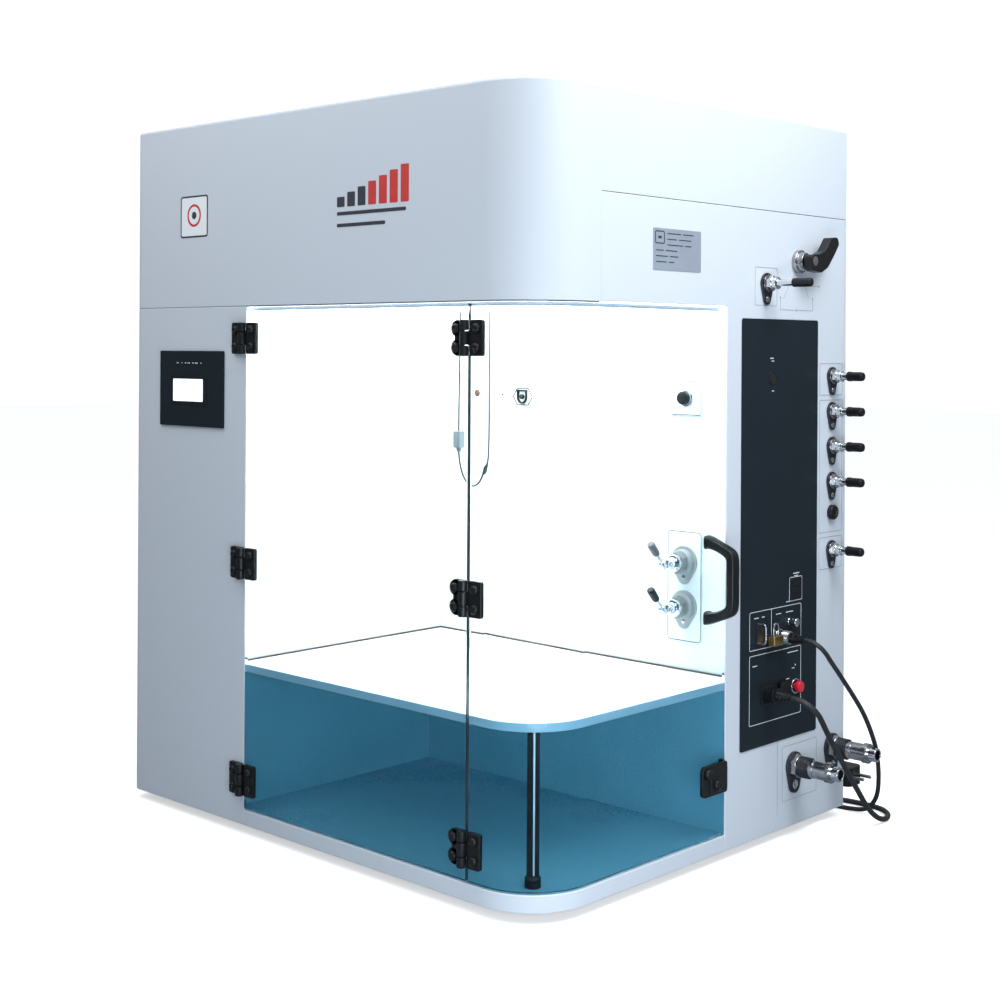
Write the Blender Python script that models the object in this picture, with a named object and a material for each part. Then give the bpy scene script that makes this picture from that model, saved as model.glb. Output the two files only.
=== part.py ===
"""Bench-top laboratory glove box: a lit chamber behind a bi-fold clear door, with gas connections.

Metres, +Z up. +X is the side with the connections and -Y is the front. The origin is the middle of
the footprint, at the underside of the feet. Places on the body are given as (across, back, up):
across is the distance in from the right side face, back the distance behind the front face, and up
the height above the underside of the cabinet.
"""

import math

import bmesh
import bpy
from mathutils import Matrix, Vector

# Driving dimensions of the cabinet
WIDTH = 0.746
DEPTH = 0.612
HEIGHT = 0.900
FOOT_HEIGHT = 0.012
SKIN = 0.003
GAP = 0.0003
CORNER_RADIUS = 0.080
EDGE_RADIUS = 0.012
HOOD_SEAM = 0.659
STEP_BACK = 0.1015
STEP_UP = 0.781
RIM_TOP = 0.020
FLOOR_TOP = 0.018
COLUMN_EDGE = 0.500
JAMB_BACK = 0.341

# How far fittings stand proud of the cabinet on three sides
RIGHT_REACH = 0.070
FRONT_REACH = 0.012
REAR_REACH = 0.008

# Chamber and doors
CHAMBER_LEFT = 0.522
CHAMBER_BACK = 0.372
LOWER_BACK = 0.348
CEILING_UNDER = 0.6593
SHELF_TOP = 0.203
SHELF_THICKNESS = 0.010
SHELF_INSET = 0.008
POST_RADIUS = 0.007
POST_INSET = 0.046
DOOR_THICKNESS = 0.006
DOOR_LOW = 0.022
DOOR_HIGH = 0.657
DOOR_GAP = 0.0015
FOLD_ACROSS = 0.104
DOOR_B_END = 0.339

# Hinges: the pin lies in front of the faces, so the leaves turn clear of them
PIN_OUT = 0.0065
KNUCKLE_RADIUS = 0.0055
LEAF_THICKNESS = 0.005
LEAF_START = 0.0062
LEAF_END = 0.0260
HINGE_HEIGHT = 0.040
HINGE_LEVELS = {"top": 0.618, "middle": 0.333, "bottom": 0.059}
CAP_RADIUS = 0.0055
CAP_HEIGHT = 0.0032

# Connection side
PANEL_BACK = (0.370, 0.542)
PANEL_UP = (0.114, 0.6456)
PANEL_PROUD = 0.001
PORT_BACK = 0.577
PORT_LEVELS = (0.573, 0.527, 0.481, 0.435, 0.345)
PORT_PLUG_LEVEL = 0.394
PURGE_PLACE = (0.423, 0.690)
SELECTOR_PLACE = (0.495, 0.720)
COOLANT_PLACES = ((0.490, 0.077), (0.580, 0.085))
INLET_PLACE = (0.430, 0.178)
ROCKER_PLACE = (0.460, 0.178)
BREAKER_PLACE = (0.492, 0.178)
SIGNAL_PLACE = (0.455, 0.246)
ROUND_PORT_PLACE = (0.437, 0.572)
BUTTON_BORE = 0.0050
BUTTON_STEM = 0.0042

# Chamber fittings on the back wall
VALVE_ACROSS = 0.086
VALVE_LEVELS = {"upper": 0.340, "lower": 0.284}
VALVE_PLATE = (0.052, 0.138, 0.309)
LEVER_OUT = 0.046
GLAND_PLACE = (0.360, 0.541)
LAMP_PLACE = (0.084, 0.546)
BAR_INSET = (0.014, 0.028)
FRONT_BAR = (0.100, 0.490)
SIDE_BAR = (0.100, 0.335)
BAR_DEPTH = 0.008
SENSOR_BACK = 0.160
SENSOR_ACROSS = (0.274, 0.229)

# Cooling fan in the rear panel
FAN_PLACE = (0.340, 0.480)
FAN_RADIUS = 0.052

# Cords
MAINS_RADIUS = 0.0035
SIGNAL_RADIUS = 0.003
SENSOR_RADIUS = 0.0012
MAINS_COIL = (0.165, 0.699)
SIGNAL_COIL = (0.300, 0.6945)
MAINS_COIL_RADII = (0.0315, 0.0525)
MAINS_COIL_HEIGHT = 0.0142
SIGNAL_COIL_RADII = (0.0270, 0.0450)
SIGNAL_COIL_HEIGHT = 0.0122
WALL_PLUG_PLACE = (0.129, 0.748)
SIGNAL_END_PLACE = (0.268, 0.7305)

ORIGIN_RIGHT = (WIDTH - RIGHT_REACH) / 2
ORIGIN_FRONT = -(DEPTH + REAR_REACH - FRONT_REACH) / 2

OUTWARD = Vector((1, 0, 0))
FORWARD = Vector((0, -1, 0))
BACKWARD = Vector((0, 1, 0))
UPWARD = Vector((0, 0, 1))


# ---- Tools -------------------------------------------------------------------------------------

def at(across, back, up):
    """The world point that lies across, back and up from the cabinet's right, front and underside."""
    return Vector((ORIGIN_RIGHT - across, ORIGIN_FRONT + back, FOOT_HEIGHT + up))


def material(name, colour, roughness, metallic=0.0, alpha=1.0):
    made = bpy.data.materials.new(name)
    made.use_nodes = True
    shader = made.node_tree.nodes["Principled BSDF"]
    shader.inputs["Base Color"].default_value = (*colour, 1.0)
    shader.inputs["Roughness"].default_value = roughness
    shader.inputs["Metallic"].default_value = metallic
    shader.inputs["Alpha"].default_value = alpha
    made.diffuse_color = (*colour, alpha)
    return made


def new_object(name, points, faces, finish):
    """An object from points and faces, with its faces turned to point outwards."""
    mesh = bpy.data.meshes.new(name)
    mesh.from_pydata([tuple(point) for point in points], [], faces)
    shell = bmesh.new()
    shell.from_mesh(mesh)
    bmesh.ops.recalc_face_normals(shell, faces=shell.faces)
    shell.to_mesh(mesh)
    shell.free()
    mesh.shade_smooth()
    mesh.set_sharp_from_angle(angle=math.radians(35))
    made = bpy.data.objects.new(name, mesh)
    bpy.context.scene.collection.objects.link(made)
    made.data.materials.append(finish)
    return made


def prism(name, ring, sweep, finish):
    """A flat outline swept straight along a vector."""
    count = len(ring)
    points = [*ring, *(point + sweep for point in ring)]
    faces = [tuple(range(count)), tuple(range(2 * count - 1, count - 1, -1))]
    for i in range(count):
        j = (i + 1) % count
        faces.append((i, count + i, count + j, j))
    return new_object(name, points, faces, finish)


def plan_prism(name, outline, low, high, finish):
    """A prism that stands on an outline of (across, back)."""
    ring = [at(across, back, low) for across, back in outline]
    return prism(name, ring, UPWARD * (high - low), finish)


def side_prism(name, outline, near, far, finish):
    """A prism through the side: an outline of (back, up), from near to far across."""
    ring = [at(near, back, up) for back, up in outline]
    return prism(name, ring, -OUTWARD * (far - near), finish)


def block(name, across, back, up, finish):
    """A box between two values of across, back and up."""
    outline = [(across[0], back[0]), (across[1], back[0]), (across[1], back[1]), (across[0], back[1])]
    return plan_prism(name, outline, up[0], up[1], finish)


def turned(name, profile, start, direction, finish, sides=12):
    """A profile of (distance, radius) turned about the line from start along direction."""
    along = direction.normalized()
    side = along.orthogonal().normalized()
    if abs(along.z) < 0.5:
        side = (UPWARD - along * along.z).normalized()
    other = along.cross(side)
    points = []
    for distance, radius in profile:
        for i in range(sides):
            angle = math.tau * i / sides
            spoke = side * math.cos(angle) + other * math.sin(angle)
            points.append(start + along * distance + spoke * radius)
    faces = [tuple(range(sides)), tuple(range(len(points) - 1, len(points) - sides - 1, -1))]
    for row in range(len(profile) - 1):
        for i in range(sides):
            j = (i + 1) % sides
            a, b = row * sides, (row + 1) * sides
            faces.append((a + i, b + i, b + j, a + j))
    return new_object(name, points, faces, finish)


def turned_ring(name, profile, centre, direction, finish, sides=16):
    """A closed profile of (distance, radius) turned about an axis: a ring with a clear bore."""
    along = direction.normalized()
    side = along.orthogonal().normalized()
    other = along.cross(side)
    points = []
    for i in range(sides):
        angle = math.tau * i / sides
        spoke = side * math.cos(angle) + other * math.sin(angle)
        points += [centre + along * distance + spoke * radius for distance, radius in profile]
    count = len(profile)
    faces = []
    for i in range(sides):
        for k in range(count):
            a, b = i * count, ((i + 1) % sides) * count
            m = (k + 1) % count
            faces.append((a + k, a + m, b + m, b + k))
    return new_object(name, points, faces, finish)


def combine(target, other, operation):
    """Boolean other into target, apply it, and remove other."""
    step = target.modifiers.new("combine", "BOOLEAN")
    step.operation = operation
    step.solver = "EXACT"
    step.object = other
    graph = bpy.context.evaluated_depsgraph_get()
    shaped = bpy.data.meshes.new_from_object(target.evaluated_get(graph))
    target.modifiers.clear()
    target.data = shaped
    shaped.name = target.name
    bpy.data.objects.remove(other)


def fuse(target, *others):
    for other in others:
        combine(target, other, "UNION")
    return target


def cut(target, *cutters):
    for cutter in cutters:
        combine(target, cutter, "DIFFERENCE")
    return target


def pivot(name, place, pieces):
    """An empty on a joint's axis, with the pieces that turn or slide there parented to it."""
    empty = bpy.data.objects.new(name, None)
    empty.location = place
    bpy.context.scene.collection.objects.link(empty)
    for piece in pieces:
        piece.data.transform(Matrix.Translation(-place))
        piece.parent = empty
    return empty


def arc(centre, radius, start, end, steps):
    """Points on a circle from one angle to another, in degrees, both ends included."""
    points = []
    for i in range(steps + 1):
        angle = math.radians(start + (end - start) * i / steps)
        points.append((centre[0] + radius * math.cos(angle), centre[1] + radius * math.sin(angle)))
    return points


def teardrop(centre, radius, tail_radius, drop):
    """The outline (back, up) of a round plate with a tail hanging below it."""
    lean = math.degrees(math.asin((radius - tail_radius) / drop))
    tail = (centre[0], centre[1] - drop)
    return arc(centre, radius, -lean, 180 + lean, 8) + arc(tail, tail_radius, 180 + lean, 360 - lean, 4)


def rounded_box(centre, width, height, radius, steps=3):
    """A rectangle's outline with rounded corners."""
    outline = []
    for start, sx, sy in ((0, 1, 1), (90, -1, 1), (180, -1, -1), (270, 1, -1)):
        middle = (centre[0] + sx * (width / 2 - radius), centre[1] + sy * (height / 2 - radius))
        outline += arc(middle, radius, start, start + 90, steps)
    return outline


def front_corner(inset, steps=8):
    """The wide front right corner, from the front face to the right side, as (across, back)."""
    middle = (CORNER_RADIUS, CORNER_RADIUS)
    return arc(middle, CORNER_RADIUS - inset, 270, 180, steps)


def left_corner(inset, steps=3):
    """The small front left corner, from the left side to the front face."""
    middle = (WIDTH - EDGE_RADIUS, EDGE_RADIUS)
    return arc(middle, EDGE_RADIUS - inset, 0, -90, steps)


def body_outline(inset):
    """The whole cabinet in plan, stepped in by inset."""
    rear = DEPTH - inset
    return [(inset, rear), (WIDTH - inset, rear)] + left_corner(inset) + front_corner(inset)


def route(stations, spacing):
    """Points at an even spacing on the smooth curve (Catmull-Rom) through hand-placed stations."""
    knots = [at(*station) for station in stations]
    knots = [knots[0] * 2 - knots[1], *knots, knots[-1] * 2 - knots[-2]]
    fine = []
    for p0, p1, p2, p3 in zip(knots, knots[1:], knots[2:], knots[3:]):
        for i in range(24):
            t = i / 24
            curve = 2 * p1 + (p2 - p0) * t + (2 * p0 - 5 * p1 + 4 * p2 - p3) * t * t
            fine.append((curve + (3 * p1 - p0 - 3 * p2 + p3) * t ** 3) / 2)
    fine.append(knots[-2])
    total = sum((b - a).length for a, b in zip(fine, fine[1:]))
    steps = round(total / spacing)
    points = [fine[0]]
    walked = 0.0
    for a, b in zip(fine, fine[1:]):
        length = (b - a).length
        while len(points) < steps and walked + length >= len(points) * total / steps:
            points.append(a.lerp(b, (len(points) * total / steps - walked) / length))
        walked += length
    points.append(fine[-1])
    return points


def cord(name, stations, radius, spacing, finish, resolution=2):
    """A round tube along a smooth route."""
    curve = bpy.data.curves.new(name, "CURVE")
    curve.dimensions = "3D"
    curve.bevel_depth = radius
    curve.bevel_resolution = resolution
    curve.use_fill_caps = True
    line = curve.splines.new("POLY")
    points = route(stations, spacing)
    line.points.add(len(points) - 1)
    for knot, point in zip(line.points, points):
        knot.co = (*point, 1.0)
    made = bpy.data.objects.new(name, curve)
    bpy.context.scene.collection.objects.link(made)
    curve.materials.append(finish)
    return made


# ---- Cabinet -----------------------------------------------------------------------------------

def make_base_tray(finish):
    """The chassis floor: a plate with a turned-down skirt all round."""
    tray = plan_prism("base_tray", body_outline(SKIN + GAP), 0, FLOOR_TOP, finish)
    hollow = plan_prism("cutter", body_outline(2 * SKIN), -SKIN, FLOOR_TOP - SKIN, finish)
    return cut(tray, hollow)


def make_left_cover(finish):
    """The left side and the front column, folded from one sheet."""
    rear = DEPTH - SKIN - GAP
    outer = [(WIDTH, rear)] + left_corner(0) + [(COLUMN_EDGE, 0)]
    inner = [(COLUMN_EDGE, SKIN)] + left_corner(SKIN)[::-1] + [(WIDTH - SKIN, rear)]
    return plan_prism("left_cover", outer + inner, 0, HOOD_SEAM - GAP, finish)


def make_front_rim(finish):
    """The low sill under the doors, rolled round the wide corner to the jamb."""
    start, end = COLUMN_EDGE - GAP, JAMB_BACK - GAP
    outer = [(start, 0)] + front_corner(0) + [(0, end)]
    inner = [(SKIN, end)] + front_corner(SKIN)[::-1] + [(start, SKIN)]
    return plan_prism("front_rim", outer + inner, 0, RIM_TOP, finish)


def make_side_panel(finish):
    """The right side panel: it rises past the hood seam behind the corner, and is bored for fittings."""
    rear = DEPTH - SKIN - GAP
    front = STEP_BACK + GAP
    outline = [(JAMB_BACK, 0), (rear, 0), (rear, STEP_UP - GAP), (front, STEP_UP - GAP)]
    outline += [(front, HOOD_SEAM + GAP), (JAMB_BACK, HOOD_SEAM + GAP)]
    panel = side_prism("side_panel", outline, 0, SKIN, finish)
    window = rounded_box(
        (sum(PANEL_BACK) / 2, sum(PANEL_UP) / 2),
        PANEL_BACK[1] - PANEL_BACK[0] - 0.010,
        PANEL_UP[1] - PANEL_UP[0] - 0.010,
        0.004,
    )
    cut(panel, side_prism("cutter", window, -0.01, 0.01, finish))
    bores = [((PORT_BACK, level), 0.0078) for level in (*PORT_LEVELS, PORT_PLUG_LEVEL)]
    bores += [(PURGE_PLACE, 0.0078), (SELECTOR_PLACE, 0.0088)]
    bores += [(place, 0.0118) for place in COOLANT_PLACES]
    for place, radius in bores:
        start = at(0.01, *place)
        cut(panel, turned("cutter", [(0, radius), (0.02, radius)], start, OUTWARD, finish))
    return panel


def make_rear_panel(finish):
    """The rear panel, with the round opening of the fan."""
    panel = block(
        "rear_panel", (0, WIDTH), (DEPTH - SKIN, DEPTH), (0, STEP_UP - GAP), finish)
    start = at(FAN_PLACE[0], DEPTH - 0.02, FAN_PLACE[1])
    hole = [(0, FAN_RADIUS + GAP), (0.04, FAN_RADIUS + GAP)]
    return cut(panel, turned("cutter", hole, start, BACKWARD, finish, sides=24))


def make_hood_cover(finish):
    """The hood: a deep cap that leaves room for the side and rear panels' upper ends."""
    hood = plan_prism("hood_cover", body_outline(0), HOOD_SEAM, HEIGHT, finish)
    cut(hood, plan_prism("cutter", body_outline(SKIN), 0, HEIGHT - SKIN, finish))
    below = (0.5, STEP_UP)
    cut(hood, block("cutter", (-0.05, SKIN + GAP), (STEP_BACK, 1.0), below, finish))
    return cut(hood, block("cutter", (-0.05, WIDTH + 0.05), (DEPTH - SKIN - GAP, 1.0), below, finish))


def make_feet(finish):
    for number, (across, back) in enumerate(
            ((0.085, 0.085), (WIDTH - 0.07, 0.07), (0.07, DEPTH - 0.07), (WIDTH - 0.07, DEPTH - 0.07))):
        profile = [(0, 0.016), (FOOT_HEIGHT, 0.018), (FOOT_HEIGHT + FLOOR_TOP - SKIN - GAP, 0.018)]
        turned(f"foot_{number + 1}", profile, at(across, back, -FOOT_HEIGHT), UPWARD, finish)


# ---- Chamber -----------------------------------------------------------------------------------

def make_chamber(white, dark):
    """The chamber's lining, its lit ceiling, the work shelf and the post that carries its corner."""
    back = (SKIN + GAP, CHAMBER_BACK - GAP)
    up = (FLOOR_TOP + GAP, CEILING_UNDER - GAP)
    wall = (CHAMBER_LEFT, CHAMBER_LEFT + SKIN)
    block("chamber_left_wall", wall, (SKIN + GAP, CHAMBER_BACK + SKIN), up, white)

    ledge = SHELF_TOP - SHELF_THICKNESS - GAP
    outline = [
        (LOWER_BACK, up[0]), (LOWER_BACK + SKIN, up[0]), (LOWER_BACK + SKIN, ledge - SKIN),
        (CHAMBER_BACK + SKIN, ledge - SKIN), (CHAMBER_BACK + SKIN, up[1]), (CHAMBER_BACK, up[1]),
        (CHAMBER_BACK, ledge), (LOWER_BACK, ledge),
    ]
    rear = side_prism("chamber_back_wall", outline, SKIN + GAP, CHAMBER_LEFT - GAP, white)
    across, level = LAMP_PLACE
    plate = block(
        "plate", (across - 0.024, across + 0.024), (CHAMBER_BACK - 0.002, CHAMBER_BACK + 0.001),
        (level - 0.0225, level + 0.0225), white)
    fuse(rear, plate)
    drill = [(0, BUTTON_BORE), (0.02, BUTTON_BORE)]
    cut(rear, turned("cutter", drill, at(across, CHAMBER_BACK + 0.01, level), FORWARD, white))

    inset = SKIN + GAP
    outline = [(inset, CHAMBER_BACK + SKIN), (CHAMBER_LEFT + SKIN, CHAMBER_BACK + SKIN)]
    outline += [(CHAMBER_LEFT + SKIN, inset)] + front_corner(inset)
    ceiling = plan_prism("chamber_ceiling", outline, CEILING_UNDER, CEILING_UNDER + SKIN, white)
    up = (CEILING_UNDER - BAR_DEPTH, CEILING_UNDER + 0.001)
    for across, back in ((FRONT_BAR, BAR_INSET), (BAR_INSET, SIDE_BAR)):
        fuse(ceiling, block("bar", across, back, up, white))

    shelf_left, shelf_back = CHAMBER_LEFT - GAP, back[1]
    outline = [(SHELF_INSET, shelf_back), (shelf_left, shelf_back), (shelf_left, SHELF_INSET)]
    outline += front_corner(SHELF_INSET)
    plan_prism("work_shelf", outline, SHELF_TOP - SHELF_THICKNESS, SHELF_TOP, white)

    top = ledge - FLOOR_TOP - GAP
    profile = [(0, 0.0090), (0.0120, 0.0090), (0.0125, POST_RADIUS), (top, POST_RADIUS)]
    turned("shelf_post", profile, at(POST_INSET, POST_INSET, FLOOR_TOP + GAP), UPWARD, dark, sides=16)


# ---- Doors -------------------------------------------------------------------------------------

def hinge_leaf(name, pin_across, level, side, lobes, finish):
    """A leaf on one side of a vertical pin (side +1 is to the left), with its own knuckle lobes."""
    slab = (-GAP - LEAF_THICKNESS, -GAP)
    low, high = level - HINGE_HEIGHT / 2, level + HINGE_HEIGHT / 2

    def span(start, end):
        return tuple(sorted((pin_across + side * start, pin_across + side * end)))

    leaf = block(name, span(LEAF_START, LEAF_END), slab, (low, high), finish)
    for start, end in lobes:
        up = (level + start * HINGE_HEIGHT, level + end * HINGE_HEIGHT)
        web = block("web", span(0.0, LEAF_START + 0.002), slab, up, finish)
        knuckle = turned(
            "knuckle", [(0, KNUCKLE_RADIUS), (up[1] - up[0], KNUCKLE_RADIUS)],
            at(pin_across, -PIN_OUT, up[0]), UPWARD, finish)
        fuse(leaf, fuse(web, knuckle))
    for height in (level - 0.0105, level + 0.0105):
        start = at(pin_across + side * 0.0165, slab[0] + 0.001, height)
        profile = [(0, CAP_RADIUS), (CAP_HEIGHT, CAP_RADIUS), (CAP_HEIGHT + 0.001, 0.0042)]
        fuse(leaf, turned("cap", profile, start, FORWARD, finish, sides=10))
    return leaf


OUTER_LOBES = ((-0.5, -0.21), (0.21, 0.5))
INNER_LOBE = ((-0.19, 0.19),)


def make_handle(finish):
    """A bridge handle on the side leg of the second door, flared where it meets the door."""
    back, low, high, out = 0.302, 0.279, 0.386, 0.043
    outline = [
        (-GAP, high), (-0.008, high), (-out + 0.008, high - 0.018), (-out, high - 0.027),
        (-out, low + 0.027), (-out + 0.008, low + 0.016), (-0.008, low), (-GAP, low),
        (-GAP, low + 0.017), (-0.010, low + 0.018),
        (-out + 0.017, low + 0.023), (-out + 0.012, low + 0.029),
        (-out + 0.012, high - 0.031), (-out + 0.017, high - 0.026),
        (-0.010, high - 0.019), (-GAP, high - 0.018),
    ]
    width = 0.017
    ring = [at(across, back - width / 2, up) for across, up in outline]
    return prism("door_handle", ring, BACKWARD * width, finish)


def make_doors(clear, black):
    """Two clear leaves: the first hangs on the column, the second folds on it and wraps the corner."""
    first = block(
        "door_a", (FOLD_ACROSS + 0.001, COLUMN_EDGE - DOOR_GAP), (0, DOOR_THICKNESS), (DOOR_LOW, DOOR_HIGH),
        clear)
    start = FOLD_ACROSS - 0.001
    outer = [(start, 0)] + front_corner(0) + [(0, DOOR_B_END)]
    inner = [(DOOR_THICKNESS, DOOR_B_END)] + front_corner(DOOR_THICKNESS)[::-1] + [(start, DOOR_THICKNESS)]
    second = plan_prism("door_b", outer + inner, DOOR_LOW, DOOR_HIGH, clear)

    with_first, with_second = [first], [second]
    for place, level in HINGE_LEVELS.items():
        hinge_leaf(f"column_hinge_{place}_fixed", COLUMN_EDGE, level, 1, OUTER_LOBES, black)
        with_first.append(
            hinge_leaf(f"column_hinge_{place}_moving", COLUMN_EDGE, level, -1, INNER_LOBE, black))
        with_first.append(hinge_leaf(f"fold_hinge_{place}_a", FOLD_ACROSS, level, 1, OUTER_LOBES, black))
        with_second.append(hinge_leaf(f"fold_hinge_{place}_b", FOLD_ACROSS, level, -1, INNER_LOBE, black))

    with_second.append(make_handle(black))
    catch = block("door_catch", (-GAP - 0.007, -GAP), (0.289, DOOR_B_END), (0.0745, 0.1115), black)
    for back, up in ((0.298, 0.1025), (0.316, 0.0865)):
        profile = [(0, 0.0070), (0.0030, 0.0070), (0.0042, 0.0056)]
        fuse(catch, turned("cap", profile, at(-0.0063, back, up), OUTWARD, black, sides=10))
    with_second.append(catch)
    back = (JAMB_BACK + GAP, LOWER_BACK - GAP)
    strike = block("catch_strike", (SKIN + GAP, 0.012), back, (0.075, 0.110), black)
    fuse(strike, block("tongue", (0.0066, 0.012), (0.326, JAMB_BACK + 0.002), (0.078, 0.107), black))

    pivot("door_a_pivot", at(COLUMN_EDGE, -PIN_OUT, 0), with_first)
    pivot("door_b_pivot", at(FOLD_ACROSS, -PIN_OUT, 0), with_second)


# ---- Front and side fittings -------------------------------------------------------------------

def make_display(black):
    """The flat display unit on the column, with its screen standing slightly proud."""
    unit = block("display_module", (0.544, 0.683), (-0.003, -GAP), (0.502, 0.6015), black)
    return fuse(unit, block("screen", (0.582, 0.652), (-0.0038, -0.002), (0.535, 0.5645), black))


def make_connector_panel(black):
    """The black panel, with its sunk mains inlet, rocker opening, data port and signal socket."""
    back = (PANEL_BACK[0] + GAP, PANEL_BACK[1] - GAP)
    panel = block("connector_panel", (-PANEL_PROUD - GAP, -GAP), back, PANEL_UP, black)
    backs, ups = INLET_PLACE
    size = ((backs - 0.016, backs + 0.016), (ups - 0.014, ups + 0.014))
    inlet = block("inlet", (-0.0028, 0.030), *size, black)
    port = block("port", (-0.0022, 0.012), (0.479, 0.505), (0.289, 0.316), black)
    socket = turned(
        "socket", [(-0.012, 0.0095), (0.0022, 0.0095)], at(0, *SIGNAL_PLACE), OUTWARD, black)
    fuse(panel, inlet, port, socket)
    cut(panel, block("cutter", (-0.01, 0.008), (0.484, 0.500), (0.299, 0.306), black))
    back, up = ROCKER_PLACE
    size = ((back - 0.0085, back + 0.0085), (up - 0.0125, up + 0.0125))
    cut(panel, block("cutter", (-0.01, 0.01), *size, black))
    for place, radius in ((BREAKER_PLACE, BUTTON_BORE), (ROUND_PORT_PLACE, 0.0075)):
        drill = [(0, radius), (0.02, radius)]
        cut(panel, turned("cutter", drill, at(0.01, *place), OUTWARD, black))

    back, up = ROCKER_PLACE
    outline = [(-0.0065, up + 0.0110), (-0.0045, up), (-0.0065, up - 0.0110)]
    outline += [(0.005, up - 0.007), (0.005, up + 0.007)]
    ring = [at(across, back - 0.0075, level) for across, level in outline]
    rocker = prism("power_rocker", ring, BACKWARD * 0.015, black)
    pivot("power_rocker_pivot", at(0.001, *ROCKER_PLACE), [rocker])


def push_button(name, head_radius, start, direction, gap, height, finish):
    """A round push button: its stem runs through the panel and its head stands gap away from it."""
    profile = [(-0.012, BUTTON_STEM), (gap, BUTTON_STEM), (gap, head_radius)]
    profile += [(gap + height - 0.001, head_radius), (gap + height, head_radius - 0.0012)]
    made = turned(name, profile, start, direction, finish)
    pivot(f"{name}_pivot", start, [made])


def bulkhead(place, plate, profile, finish, name="fitting"):
    """A fitting through the side panel: a teardrop plate outside it and a turned body."""
    radius, tail_radius, drop, thickness = plate
    outline = teardrop(place, radius, tail_radius, drop)
    body = turned(name, profile, at(0, *place), OUTWARD, finish)
    return fuse(body, side_prism("plate", outline, -GAP - thickness, -GAP, finish))


PORT_PLATE = (0.0120, 0.0065, 0.0185, 0.0025)
PORT_PROFILE = [
    (-0.020, 0.0070), (0.0020, 0.0070), (0.0020, 0.0100), (0.0090, 0.0100), (0.0095, 0.0088),
    (0.0180, 0.0088), (0.0185, 0.0048), (0.0340, 0.0048), (0.0345, 0.0062), (0.0480, 0.0056),
]
PORT_PLUG_PROFILE = [(-0.020, 0.0070), (GAP, 0.0070), (GAP, 0.0098), (0.0060, 0.0098), (0.0070, 0.0085)]


def make_gas_ports(steel):
    """Five bulkhead ports and a plug, screwed into the gas rail that runs behind the side panel."""
    back = (PORT_BACK - 0.010, PORT_BACK + 0.010)
    rail = block("gas_port_rail", (0.016, 0.034), back, (0.325, 0.593), steel)
    for level in PORT_LEVELS:
        fuse(rail, bulkhead((PORT_BACK, level), PORT_PLATE, PORT_PROFILE, steel))
    return fuse(rail, turned("plug", PORT_PLUG_PROFILE, at(0, PORT_BACK, PORT_PLUG_LEVEL), OUTWARD, steel))


def make_purge_port(steel):
    """The single bulkhead port with a long stem, held by a nut behind the panel."""
    profile = [
        (-0.016, 0.0120), (-0.006, 0.0120), (-0.006, 0.0070), (0.0020, 0.0070), (0.0020, 0.0105),
        (0.0120, 0.0105), (0.0125, 0.0080), (0.0180, 0.0080), (0.0185, 0.0042), (0.0420, 0.0042),
        (0.0425, 0.0056), (0.0650, 0.0056), (0.0665, 0.0045),
    ]
    return bulkhead(PURGE_PLACE, (0.0130, 0.0070, 0.0200, 0.0025), profile, steel, "purge_port")


def make_selector(steel, black):
    """The four-way selector valve: its body behind the panel, the hub outside, and the turning lever."""
    place = at(0, *SELECTOR_PLACE)
    back, up = SELECTOR_PLACE
    size = ((back - 0.022, back + 0.022), (up - 0.022, up + 0.022))
    body = block("selector_valve", (0.010, 0.050), *size, steel)
    hub = [(-0.012, 0.0080), (GAP, 0.0080), (GAP, 0.0150)]
    hub += [(0.0060, 0.0150), (0.0070, 0.0120), (0.0130, 0.0110)]
    fuse(body, turned("hub", hub, place, OUTWARD, steel, sides=16))

    outline = [
        (back - 0.009, up + 0.006), (back - 0.007, up - 0.011), (back + 0.004, up - 0.014),
        (back + 0.016, up - 0.014), (back + 0.029, up - 0.008), (back + 0.044, up + 0.008),
        (back + 0.057, up + 0.025), (back + 0.054, up + 0.033), (back + 0.038, up + 0.032),
        (back + 0.023, up + 0.014), (back + 0.010, up + 0.010),
    ]
    lever = side_prism("selector_lever", outline, -0.0265, -0.0135, black)
    pivot("selector_lever_pivot", place, [lever])


def make_coolant_couplings(steel):
    """Two large quick couplings low on the side, joined inside by the coolant pipe."""
    profile = [
        (-0.034, 0.0110), (0.0030, 0.0110), (0.0030, 0.0150), (0.0120, 0.0150), (0.0130, 0.0135),
        (0.0260, 0.0135), (0.0270, 0.0110), (0.0500, 0.0110), (0.0510, 0.0128), (0.0580, 0.0128),
        (0.0590, 0.0090), (RIGHT_REACH, 0.0090),
    ]
    plate = (0.0175, 0.0110, 0.0240, 0.0035)
    first, second = (bulkhead(place, plate, profile, steel) for place in COOLANT_PLACES)
    start, end = (at(0.026, *place) for place in COOLANT_PLACES)
    pipe = turned("pipe", [(0, 0.006), ((end - start).length, 0.006)], start, end - start, steel)
    first.name = "coolant_couplings"
    return fuse(first, second, pipe)


# ---- Chamber fittings --------------------------------------------------------------------------

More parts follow.
